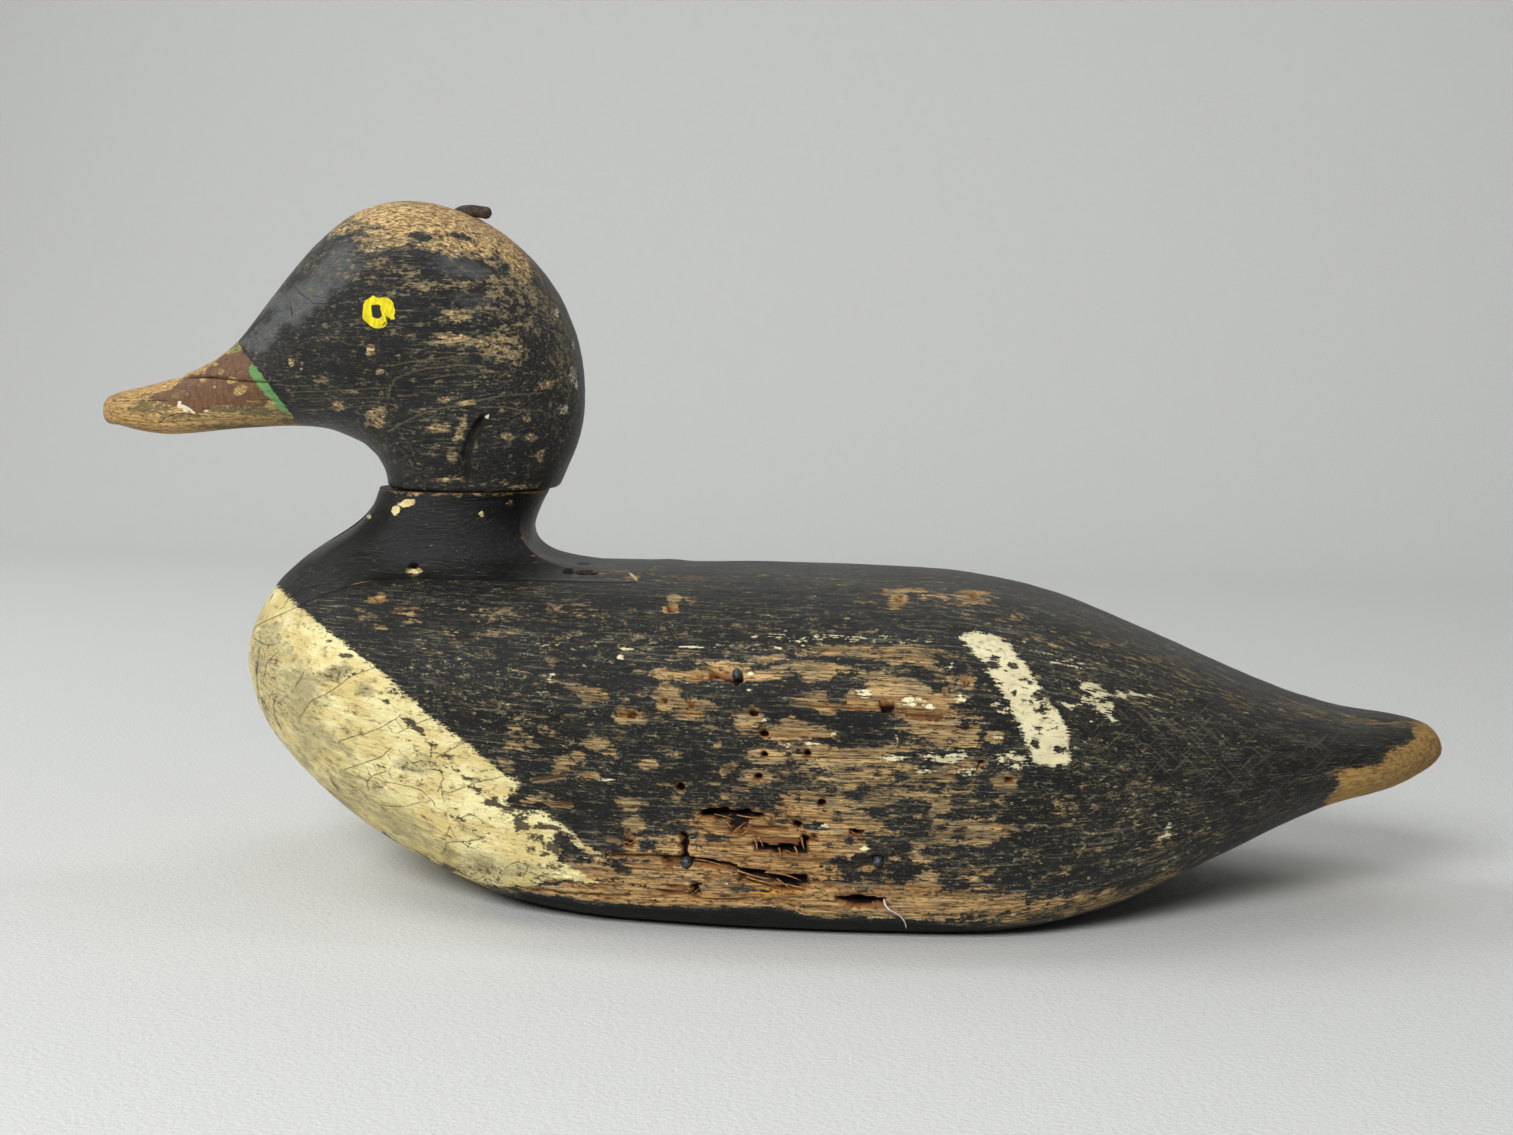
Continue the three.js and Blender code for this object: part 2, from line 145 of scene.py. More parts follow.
WIDEST_HEIGHT = curve([(-145, 58), (-120, 53), (-80, 46), (-20, 42), (40, 41), (190, 41)])
BACK_FULLNESS = curve([(-145, 2.1), (-100, 2.5), (0, 2.6), (80, 2.4), (140, 2.1), (190, 2)])
BILGE_FULLNESS = curve([
    (-145, 2), (-110, 2.5), (-75, 3.6), (-50, 5.6), (-25, 8.5), (20, 10), (70, 8.5), (95, 5.4),
    (125, 3.2), (160, 2.4), (190, 2),
])
BREAST_RISE, BREAST_SIDE = 14, 46
TAIL_RISE, TAIL_SIDE = 4.5, 26
SEAM_HEIGHT = curve([
    (-145, 60.5), (-144, 62), (-139.5, 67), (-131, 71.5), (-122, 75.5), (-114, 79.2), (-107, 82),
    (-99, 83.6), (-90, 84.1), (-28, 84.6),
])
BLOCK_REAR_X = -28
NECK_TOP_X, NECK_TOP_Z, NECK_HALF_LENGTH, NECK_HALF_WIDTH = -83, 107, 24.6, 23
FLARE_REACH = curve([(-1, 0.57), (-0.85, 0.48), (-0.3, 0.4), (0.5, 0.62), (1, 0.97)])

# Head slices from the bill tip to the neck joint: top x and z, bottom x and z, half-width,
# widest place (0 bottom, 1 top) and fullness
HEAD_STATIONS = np.array([
    (BILL_TIP_X, 131.2, BILL_TIP_X, 123.4, 8.2, 0.40, 2.3),
    (-179, 134.6, -179, 121.2, 10.2, 0.38, 2.4),
    (-167.5, 137.5, -167.5, 120.4, 10.9, 0.36, 2.4),
    (-156.5, 142.6, -155.5, 121.6, 11.8, 0.36, 2.3),
    (-148, 149, -146, 122.7, 13.8, 0.38, 2.2),
    (-139.4, 159.2, -137, 123.3, 17.4, 0.42, 2.1),
    (-129, 171.2, -128, 123.2, 21.6, 0.46, 2.1),
    (-116, 183, -121, 122.3, 25.4, 0.50, 2.15),
    (-101, 187.9, -115.5, 120.3, 28, 0.52, 2.2),
    (-85, 185.4, -111.5, 118.6, 29.3, 0.52, 2.25),
    (-68.5, 176.2, -109.2, 116.9, 29.8, 0.52, 2.25),
    (-55.6, 160.6, -107.4, 115.2, 29.2, 0.52, 2.25),
    (-49.6, 143, -106.2, 113.2, 27.6, 0.50, 2.2),
    (-49.3, 125.5, -105.4, 110.8, 25.4, 0.50, 2.1),
    (-56, NECK_TOP_Z + JOINT_GAP, -105, NECK_TOP_Z + JOINT_GAP, 23.4, 0.50, 2),
])
BILL_TIP_RISE, BILL_TIP_SIDE = 2.5, 7
SPIKE_RADIUS = 1.85
SPIKE_PATH = [
    (-87.6, 172), (-87.6, 178), (-87, 182), (-84, 184.5), (-79.5, 184.7), (-75.4, 184.1),
]
PELLET_RADIUS = 1.6
PELLETS = {
    "shot_pellet_upper": (4.5, 66, 2.6),
    "shot_pellet_lower_front": (-7.2, 18.7, 1.9),
    "shot_pellet_lower_rear": (41.3, 20.8, 1.8),
}


def rounded(distance, reach):
    """Quarter-round: 0 at the very end of a form, 1 from the given reach inwards."""
    u = np.clip(np.asarray(distance, float) / reach, 0, 1)
    return np.sqrt(1 - (1 - u) ** 2)


def body_slice(x):
    """The body's slice at x: middle height, heights above and below it, half-width, fullness."""
    rise = rounded(x - BREAST_X, BREAST_RISE) * rounded(TAIL_TIP_X - x, TAIL_RISE)
    side = rounded(x - BREAST_X, BREAST_SIDE) * rounded(TAIL_TIP_X - x, TAIL_SIDE)
    middle = WIDEST_HEIGHT(x)
    up = (BACK_HEIGHT(x) - middle) * rise
    down = (middle - KEEL_HEIGHT(x)) * rise
    return middle, up, down, HALF_WIDTH(x) * side, BACK_FULLNESS(x), BILGE_FULLNESS(x)


def body_point(x, angle):
    """The body's surface at an angle round the slice, 0 on the far side and a quarter turn on top."""
    middle, up, down, half, back, bilge = body_slice(x)
    c, s = np.cos(angle), np.sin(angle)
    fullness = np.where(s >= 0, back, bilge)
    radius = (np.abs(c) ** fullness + np.abs(s) ** fullness) ** (-1 / fullness)
    z = middle + np.where(s >= 0, up, down) * radius * s
    return np.stack(np.broadcast_arrays(x, half * radius * c, np.maximum(z, 0)), axis=-1)


def body_half_width(x, z):
    """Half the body's width at a height."""
    middle, up, down, half, back, bilge = body_slice(x)
    above = z >= middle
    fullness = np.where(above, back, bilge)
    reach = np.maximum(np.where(above, up, down), 1e-6)
    part = np.clip(np.abs(z - middle) / reach, 0, 1)
    return half * (1 - part**fullness) ** (1 / fullness)


def body_top(x, y):
    """Height of the body's back."""
    middle, up, _, half, back, _ = body_slice(x)
    part = np.clip(np.abs(y) / np.maximum(half, 1e-6), 0, 1)
    return middle + up * (1 - part**back) ** (1 / back)


def body_normal(x, y, z):
    """Outward direction of the body's upper surface, from how its slice equation changes."""
    def level(x, y, z):
        middle, up, _, half, back, _ = body_slice(x)
        return (np.abs(y) / half) ** back + (np.abs(z - middle) / up) ** back

    step = 0.05
    normal = np.stack([
        level(x + step, y, z) - level(x - step, y, z),
        level(x, y + step, z) - level(x, y - step, z),
        level(x, y, z + step) - level(x, y, z - step),
    ], axis=-1)
    return normal / np.linalg.norm(normal, axis=-1, keepdims=True)


def spread(start, end, spacing):
    """Places from start to end, as close together as spacing(place) says."""
    fine = np.linspace(start, end, 6000)
    count = np.concatenate([[0], np.cumsum(np.diff(fine) / spacing(fine[:-1]))])
    return np.interp(np.linspace(0, count[-1], round(count[-1]) + 1), count, fine)


def outward_normals(rings):
    """Unit normals of rings of points, pointing away from the middle of the rings."""
    around = np.roll(rings, -1, axis=1) - np.roll(rings, 1, axis=1)
    along = np.gradient(rings, axis=0)
    normal = np.cross(along, around)
    normal /= np.maximum(np.linalg.norm(normal, axis=-1, keepdims=True), 1e-9)
    half_way = rings[len(rings) // 2]
    outwards = np.sum(normal[len(rings) // 2] * (half_way - half_way.mean(0))) > 0
    return normal if outwards else -normal


def ring_faces(rows, columns, first=0):
    """Quads between rings of points, with a fan over each end to the two points after the rings."""
    row, column = np.meshgrid(np.arange(rows - 1), np.arange(columns), indexing="ij")
    a = first + row * columns + column
    b = first + row * columns + (column + 1) % columns
    faces = np.stack([a, b, b + columns, a + columns], axis=-1).reshape(-1, 4).tolist()
    start = first + rows * columns
    last_ring = start - columns
    for j in range(columns):
        after = (j + 1) % columns
        faces.append((start, first + after, first + j))
        faces.append((start + 1, last_ring + j, last_ring + after))
    return faces


def make_mesh(name, points, faces, finish, marks=None):
    """A smooth mesh piece. Points are in millimetres, and marks are named numbers per point."""
    mesh = bpy.data.meshes.new(name)
    mesh.from_pydata((np.asarray(points) * MM).tolist(), [], [list(map(int, f)) for f in faces])
    for mark, values in (marks or {}).items():
        layer = mesh.attributes.new(mark, "FLOAT", "POINT")
        layer.data.foreach_set("value", np.ascontiguousarray(values, dtype=np.float32))
    mesh.shade_smooth()
    mesh.materials.append(finish)
    piece = bpy.data.objects.new(name, mesh)
    bpy.context.scene.collection.objects.link(piece)
    return piece


def ring_piece(name, rings, start, end, finish, marks=None):
    """A closed piece through rings of points, with a fan over each end."""
    points = np.vstack([rings.reshape(-1, 3), [start], [end]])
    closed_marks = {
        mark: np.concatenate([values.ravel(), [values[0].mean(), values[-1].mean()]])
        for mark, values in (marks or {}).items()
    }
    return make_mesh(name, points, ring_faces(*rings.shape[:2]), finish, closed_marks)


class Lumps:
    """Smooth seeded noise between -1 and 1, which repeats after 32 lumps."""

    repeat = 32

    def __init__(self, seed):
        self.table = np.random.default_rng(seed).uniform(-1, 1, (self.repeat,) * 3)

    def __call__(self, points, size):
        place = points / np.asarray(size, float)
        cell = np.floor(place).astype(int)
        t = place - cell
        t = t * t * (3 - 2 * t)
        total = 0
        for corner in np.ndindex(2, 2, 2):
            i, j, k = ((cell[..., axis] + corner[axis]) % self.repeat for axis in range(3))
            weight = np.prod(np.where(np.array(corner) == 1, t, 1 - t), axis=-1)
            total = total + weight * self.table[i, j, k]
        return total


# Places on the near side are read in the photograph's own pixels, and the camera that took it
# carries them onto the carving. The far side is folded onto the near one for the paint's outlines.

PHOTO_HEIGHT = 1135
PIXELS_PER_MM = 3.56
PATCH_EDGE_STRENGTH = 0.55
PATCH_SLOPE = 1.15
PATCH_SIZE_OF_FULL_DRIFT = 45


def in_photograph(points):
    """Pixels at which the camera sees the points, with the far half folded onto the near half."""
    camera = bpy.context.scene.camera
    axes = np.array(camera.matrix_world.to_3x3())
    folded = np.stack([points[..., 0], -np.abs(points[..., 1]), points[..., 2]], axis=-1)
    right, up, back = np.moveaxis((folded - CAMERA_PLACE) @ axes, -1, 0)
    return (
        PHOTO_WIDTH / 2 - FOCAL_LENGTH_PIXELS * right / back,
        PHOTO_HEIGHT / 2 + FOCAL_LENGTH_PIXELS * up / back,
    )


def smooth(value):
    t = np.clip(value, 0, 1)
    return t * t * (3 - 2 * t)


def near_half(points):
    """1 on the near half of the carving and 0 on the far half."""
    return smooth((2 - points[..., 1]) / 6)


def facing_down(normals):
    """1 where the surface faces the floor."""
    return smooth((-normals[..., 2] - 0.72) / 0.2)


def steps_of_line(u, v, line):
    """For each step of a line, the distance from it, and a number that is positive on its right."""
    for (u0, v0), (u1, v1) in zip(line[:-1], line[1:]):
        du, dv = u1 - u0, v1 - v0
        t = np.clip(((u - u0) * du + (v - v0) * dv) / max(du * du + dv * dv, 1e-9), 0, 1)
        yield np.hypot(u - u0 - t * du, v - v0 - t * dv), du * (v - v0) - dv * (u - u0)


def line_distance(u, v, line):
    """Distance in pixels from a line of places."""
    return np.minimum.reduce([distance for distance, _ in steps_of_line(u, v, line)])


def inside_outline(u, v, outline):
    """How far inside a closed outline each place is, in millimetres, negative outside it."""
    closed = list(outline) + [outline[0]]
    distance = line_distance(u, v, closed)
    inside = np.zeros(np.shape(u), bool)
    for (u0, v0), (u1, v1) in zip(closed[:-1], closed[1:]):
        if v0 != v1:
            crosses = (v0 > v) != (v1 > v)
            inside ^= crosses & (u < u0 + (v - v0) * (u1 - u0) / (v1 - v0))
    return np.where(inside, distance, -distance) / PIXELS_PER_MM


def patches(u, v, ovals, moved=(0, 0)):
    """Strength of soft-edged ovals: u, v, half length, half height, strength, and a tilt down to the
    right in degrees. The outlines are moved about, those of small ovals less."""
    total = np.zeros(np.shape(u))
    for cu, cv, length, height, strength, *tilt in ovals:
        angle = math.radians(tilt[0]) if tilt else 0
        share = min(1, (length + height) / PATCH_SIZE_OF_FULL_DRIFT)
        du, dv = u - cu + share * moved[0], v - cv + share * moved[1]
        along = du * math.cos(angle) + dv * math.sin(angle)
        across = dv * math.cos(angle) - du * math.sin(angle)
        distance = np.hypot(along / length, across / height)
        level = np.clip(PATCH_SLOPE * (1 - distance) + PATCH_EDGE_STRENGTH, 0, 1)
        total = np.maximum(total, strength * level)
    return total


def drift(points):
    """How far drawn patches move about, in pixels, so that they lose their plain outlines."""
    wide = BROAD_LUMPS(points, (8, 5, 4)), BROAD_LUMPS(points + 97, (9, 6, 5))
    small = ROT_LUMPS(points, (3, 2, 1.6)), ROT_LUMPS(points + 97, (3.5, 2, 1.6))
    return 13 * wide[0] + 6 * small[0], 6 * wide[1] + 3.5 * small[1]


def line_marks(u, v, lines, allowed=1):
    """Two marks for thin lines (places, half-width in millimetres): the distance to the nearest
    line in its half-widths, negative on its left, and 1 near a line where allowed, 0 elsewhere."""
    nearest = np.full(np.shape(u), 1e9)
    side = np.zeros(np.shape(u))
    for line, half_width in lines:
        for pixels, rightwards in steps_of_line(u, v, line):
            distance = pixels / PIXELS_PER_MM
            signed = np.sign(rightwards) * distance / half_width
            side = np.where(distance < nearest, signed, side)
            nearest = np.minimum(nearest, distance)
    return np.clip(side, -9, 9), np.clip((2.6 - nearest) / 1.2, 0, 1) * allowed


# Tables in the photograph's pixels. An outline is a closed line of places. A patch is a soft oval:
# place, half length, half height, strength, and sometimes a tilt down to the right in degrees.

CREAM_BREAST = [
    (150, 560), (262, 578), (276, 585), (295, 604), (329, 631), (376, 667), (405, 694), (431, 717),
    (465, 743), (490, 764), (505, 774), (521, 786), (512, 794), (503, 803), (514, 806), (524, 809),
    (540, 809), (552, 816), (566, 829), (580, 842), (596, 853), (608, 858), (590, 854), (574, 845),
    (560, 834), (556, 842), (562, 850), (556, 860), (566, 866), (580, 874), (596, 884), (584, 886),
    (560, 883), (540, 887), (505, 888), (470, 884), (450, 878), (430, 930), (150, 900),
]
WING_STRIPE = [
    (957, 634), (975, 630), (996, 634), (1012, 645), (1024, 660), (1034, 676), (1044, 690),
    (1052, 703), (1062, 716), (1068, 730), (1071, 745), (1071, 764), (1052, 767), (1036, 766),
    (1030, 752), (1025, 738), (1019, 722), (1011, 706), (1003, 692), (994, 678), (984, 668),
    (986, 660), (978, 656), (969, 648),
]
BARE_TAIL = [
    (1500, 715), (1412, 722), (1417, 736), (1404, 745), (1389, 751), (1383, 766), (1360, 769),
    (1337, 771), (1340, 784), (1334, 794), (1325, 803), (1322, 850), (1500, 850),
]
WOOD_LOWER_EDGE = [
    (520, 892), (560, 898), (600, 905), (677, 909), (762, 911), (789, 912), (814, 918), (888, 920),
    (960, 925), (1000, 928), (1050, 922), (1105, 906), (1180, 882), (1260, 850),
]
STRIPE_CHIPS = [
    (993, 664, 8, 4, 1), (1013, 664, 6, 3, 1), (1023, 679, 3, 2, 1), (1030, 681, 2.5, 2, 1),
    (1006, 670, 2, 2, 1), (1015, 692, 4, 3, 1), (1040, 695, 8, 6, 0.9), (1028, 700, 5, 3, 0.7),
    (1042, 708, 8, 5, 0.75), (1045, 718, 6, 4, 0.6), (1038, 727, 3, 2, 1), (1043, 733, 3, 2, 1),
    (1036, 744, 4, 6, 0.9, -20), (1061, 750, 6, 4, 1), (1002, 683, 2, 1.5, 1), (1056, 726, 5, 3, 0.6),
    (1030, 751, 3, 2, 0.8), (996, 657, 6, 3, 0.9),
]

BARE_FLANK = [
    (760, 676, 26, 6, 0.7, 8), (640, 690, 10, 6, 0.6), (700, 655, 12, 4, 0.5),
    (1040, 640, 22, 3, 0.6, 16), (671, 598, 8, 4, 1), (671, 609, 8, 5, 1.1), (906, 590, 24, 2.6, 1.1),
    (897, 600, 9, 8, 1.1), (975, 592, 17, 4, 1.1), (968, 600, 24, 5, 0.8), (930, 598, 16, 5, 0.6),
    (1018, 617, 15, 3, 0.7), (765, 575, 12, 2.5, 0.6), (690, 600, 10, 6, 0.4),
    (1100, 640, 60, 5, 0.38, 24), (1180, 672, 80, 6, 0.38, 26), (1290, 706, 90, 5, 0.4, 14),
    (1385, 722, 40, 3, 0.6, 8), (1240, 700, 60, 4, 0.4, 24), (1150, 700, 30, 12, 0.36),
    (1340, 772, 20, 7, 0.5, -14), (407, 609, 14, 8, 0.6), (414, 620, 10, 4, 0.5),
    (495, 612, 22, 9, 0.6, -10), (570, 607, 34, 9, 0.42), (500, 630, 20, 4, 0.6),
    (450, 633, 18, 4, 0.5), (365, 612, 10, 5, 0.5, 30), (378, 626, 18, 6, 0.45, 30),
    (377, 597, 10, 5, 1, -10), (350, 636, 12, 8, 0.4), (1169, 842, 7, 14, 0.55, 12),
    (1080, 800, 6, 20, 0.4), (1060, 870, 20, 8, 0.36), (1100, 852, 14, 6, 0.4), (640, 565, 30, 4, 0.5),
    (690, 575, 50, 4, 0.4), (593, 695, 19, 8, 0.95, 12), (560, 683, 22, 9, 0.55),
    (632, 717, 17, 8, 0.95), (725, 671, 72, 10, 1), (668, 693, 14, 14, 0.95), (697, 703, 26, 8, 0.9),
    (688, 715, 18, 4, 0.9), (746, 721, 14, 9, 1), (792, 731, 38, 11, 1), (766, 757, 19, 7, 1),
    (757, 777, 18, 8, 0.95), (727, 771, 16, 4, 0.85, -35), (603, 745, 20, 8, 0.85, 18),
    (520, 748, 18, 7, 0.6), (560, 766, 12, 8, 0.85, 25), (576, 757, 8, 5, 0.75),
    (646, 764, 9, 7, 0.85), (668, 757, 12, 5, 0.7), (717, 747, 6, 4, 0.8), (520, 727, 13, 14, 0.5),
    (548, 735, 11, 8, 0.5), (590, 776, 11, 4, 0.7), (640, 671, 9, 2, 0.8), (550, 660, 9, 6, 0.5),
    (685, 652, 13, 4, 0.75), (770, 657, 28, 3, 0.8), (700, 727, 30, 2, 0.5), (610, 735, 22, 10, 0.42),
    (505, 765, 8, 8, 0.8), (470, 700, 40, 20, 0.3), (870, 652, 95, 9, 0.8), (812, 674, 34, 12, 0.9),
    (900, 662, 40, 8, 0.85), (868, 673, 24, 8, 0.85), (915, 690, 52, 22, 0.95),
    (860, 700, 75, 9, 0.95), (930, 715, 36, 18, 0.9), (812, 742, 34, 14, 0.85),
    (925, 735, 52, 12, 0.85), (870, 758, 90, 14, 0.95), (955, 742, 22, 16, 0.8),
    (880, 778, 110, 11, 0.75), (955, 772, 28, 12, 0.75), (968, 679, 9, 8, 1), (996, 737, 12, 7, 0.9),
    (1010, 780, 12, 10, 1), (850, 800, 110, 18, 0.8), (720, 795, 60, 14, 0.55), (627, 806, 16, 8, 0.9),
    (633, 824, 16, 8, 0.9), (540, 800, 18, 7, 0.8), (640, 848, 26, 11, 0.85), (590, 842, 18, 8, 0.35),
    (735, 823, 52, 14, 1), (800, 825, 110, 18, 1), (760, 852, 130, 18, 1), (700, 874, 160, 16, 1),
    (590, 868, 44, 12, 0.9), (905, 845, 60, 20, 0.62), (938, 809, 12, 8, 0.95),
    (955, 836, 55, 16, 0.72), (985, 833, 26, 13, 0.85), (960, 800, 40, 16, 0.45),
    (930, 870, 62, 14, 0.66), (975, 876, 30, 18, 0.55), (935, 893, 60, 10, 0.9),
    (1000, 903, 40, 9, 0.8), (1050, 908, 60, 8, 0.75, -14), (1110, 903, 46, 9, 0.85, -16),
    (1165, 884, 44, 7, 0.7, -22), (820, 905, 240, 16, 1), (1045, 880, 8, 5, 0.6),
    (1060, 806, 7, 12, 0.6), (1068, 823, 8, 5, 0.55), (1003, 800, 5, 5, 0.7),
    (480, 872, 60, 12, 0.75, 12), (620, 895, 120, 10, 1),
]
PAINT_ISLANDS = [
    (840, 662, 50, 4, 1, 4), (925, 676, 38, 5, 0.9, 14), (838, 690, 9, 13, 0.9),
    (868, 734, 34, 12, 0.95), (806, 716, 15, 8, 0.9, 25), (815, 742, 26, 3, 0.9),
    (862, 718, 14, 3, 0.8), (928, 757, 30, 8, 0.75), (735, 690, 34, 8, 0.95), (700, 681, 22, 3, 0.6),
    (714, 838, 12, 3.5, 1), (773, 840, 13, 3, 1), (780, 822, 11, 2.5, 0.9), (816, 827, 14, 5, 0.95, 8),
    (839, 861, 9, 5, 1), (860, 859, 9, 6, 1), (846, 870, 8, 4, 0.9), (870, 877, 16, 3, 0.9),
    (907, 872, 20, 7, 0.95), (888, 848, 14, 10, 0.8), (915, 828, 26, 10, 0.9), (940, 852, 22, 5, 0.8),
    (860, 795, 18, 6, 0.75), (908, 806, 14, 8, 0.85), (835, 820, 8, 4, 0.8), (648, 846, 9, 5, 0.95),
    (800, 786, 30, 8, 0.6), (848, 842, 5, 3, 0.9), (884, 812, 14, 6, 0.8), (963, 858, 12, 10, 0.85),
    (943, 865, 9, 5, 0.9), (955, 888, 14, 5, 0.8), (900, 888, 8, 4, 0.8), (827, 846, 6, 2.5, 0.8),
    (940, 764, 14, 5, 0.8), (760, 800, 20, 8, 0.7), (700, 795, 14, 8, 0.7), (780, 700, 24, 8, 0.7),
    (620, 868, 12, 4, 0.8, 15), (905, 777, 12, 5, 0.6),
]
CREAM_FLECKS = [
    (619, 656, 4, 3, 1), (626, 648, 11, 1.5, 1), (692, 645, 14, 1.5, 1), (732, 641, 9, 1.5, 1),
    (553, 678, 8, 6, 0.6), (597, 684, 4, 2, 0.9), (687, 683, 3, 2, 1), (750, 690, 5, 2.5, 1),
    (750, 672, 4, 2, 0.9), (767, 675, 5, 2, 0.8), (783, 681, 6, 2, 0.9), (763, 720, 3, 2, 1),
    (790, 747, 8, 6, 0.5), (517, 724, 3, 2, 1), (608, 781, 12, 1.2, 1), (778, 648, 5, 2, 0.9),
    (863, 692, 10, 5, 0.85), (915, 700, 15, 5, 0.85), (930, 704, 10, 4, 0.8), (903, 652, 9, 2, 0.8),
    (950, 665, 18, 5, 0.55), (812, 745, 14, 4, 0.5), (895, 758, 16, 5, 0.8), (948, 758, 24, 7, 0.82),
    (928, 772, 12, 4, 0.75), (968, 775, 14, 5, 0.82), (1010, 762, 20, 7, 0.78), (964, 697, 7, 8, 0.6),
    (996, 706, 16, 7, 0.7), (1005, 737, 14, 4, 0.5), (1085, 686, 13, 5, 1.1),
    (1096, 697, 13, 7, 1, -10), (1070, 705, 9, 4, 0.8), (1110, 706, 10, 5, 1, -20),
    (1128, 693, 22, 3, 0.9), (1114, 717, 6, 5, 1.1), (1150, 694, 8, 3, 0.8), (1090, 720, 5, 3, 0.8),
    (1050, 655, 32, 7, 0.5, 22), (1060, 682, 14, 4, 0.6, 25), (1070, 752, 10, 5, 0.6),
    (866, 849, 6, 2.5, 0.9), (872, 640, 60, 4, 0.56), (800, 636, 70, 4, 0.62), (1170, 832, 8, 12, 0.7),
    (823, 827, 4, 3, 1), (590, 860, 14, 4, 0.6, 14), (896, 739, 2, 8, 0.8, -20), (833, 736, 5, 5, 0.5),
]
CREAM_CHIPS = [
    (447, 757, 5, 3, 1), (454, 771, 6, 3, 1.1), (467, 779, 5, 3, 0.9), (480, 791, 7, 4, 1.1),
    (493, 801, 6, 4, 1), (507, 809, 7, 4, 0.9), (521, 827, 8, 4, 1.1), (536, 839, 9, 4, 1.1),
    (529, 851, 6, 4, 0.8), (430, 745, 4, 3, 0.9), (411, 722, 9, 4, 1.1, 30), (385, 700, 6, 3, 0.9, 20),
    (345, 655, 6, 3, 0.8), (325, 641, 4, 3, 0.7), (310, 628, 3, 2, 0.7), (262, 705, 3, 9, 0.9, -20),
    (284, 752, 4, 9, 0.8, -30), (301, 773, 8, 3, 0.9, 48), (320, 794, 9, 3, 1, 42),
    (342, 810, 9, 3, 0.9, 40), (362, 824, 12, 3, 0.9, 36), (388, 840, 14, 3, 0.8, 32),
    (420, 857, 14, 4, 0.9, 28), (446, 869, 12, 4, 0.9, 20), (256, 668, 3, 8, 0.8),
    (272, 697, 4, 6, 0.7), (460, 820, 6, 3, 0.8, 40), (421, 732, 7, 4, 0.9, 30),
    (395, 693, 8, 4, 0.7, 30), (452, 759, 3, 2, 1), (444, 769, 4, 2, 0.9), (491, 785, 4, 3, 1),
    (486, 803, 3, 3, 1), (465, 787, 3, 2, 0.8), (515, 820, 6, 4, 0.95), (543, 828, 14, 3, 1),
    (516, 832, 4, 4, 1), (560, 838, 9, 5, 1), (550, 850, 10, 6, 0.7), (524, 806, 14, 4, 0.6),
    (542, 855, 5, 3, 0.9), (548, 884, 8, 4, 1), (566, 884, 6, 3, 1), (334, 673, 18, 6, 0.55),
    (362, 692, 9, 6, 0.35), (426, 762, 18, 18, 0.42), (265, 665, 10, 20, 0.4),
    (275, 715, 12, 18, 0.42), (467, 838, 26, 24, 0.34), (500, 875, 44, 10, 0.4),
    (330, 800, 20, 8, 0.3), (505, 770, 10, 3, 0.5, 35), (535, 815, 30, 8, 0.45),
    (380, 780, 40, 10, 0.2), (555, 868, 12, 4, 0.6),
]

# Shot holes: place and radius in pixels, depth in millimetres
SHOT_HOLES = [
    (672, 606, 5, 2.2), (900, 597, 4, 2), (975, 594, 4, 1.6), (967, 680, 5, 1.6), (630, 714, 6, 1.8),
    (752, 711, 5, 2.6), (664, 699, 4, 1.6), (691, 704, 4, 1.6), (763, 733, 5.5, 2.6),
    (807, 754, 4.5, 2.4), (764, 755, 4.5, 2.4), (758, 778, 5, 2.2), (679, 788, 6, 2.6),
    (821, 804, 5, 2.4), (982, 762, 4, 1.8), (1010, 781, 5, 1.6), (628, 846, 5, 2), (855, 834, 5, 2.4),
    (796, 826, 4.5, 2.4), (377, 597, 4, 1.4), (945, 689, 3.5, 1.4), (692, 898, 5, 2.4),
    (813, 839, 4, 1.6),
]
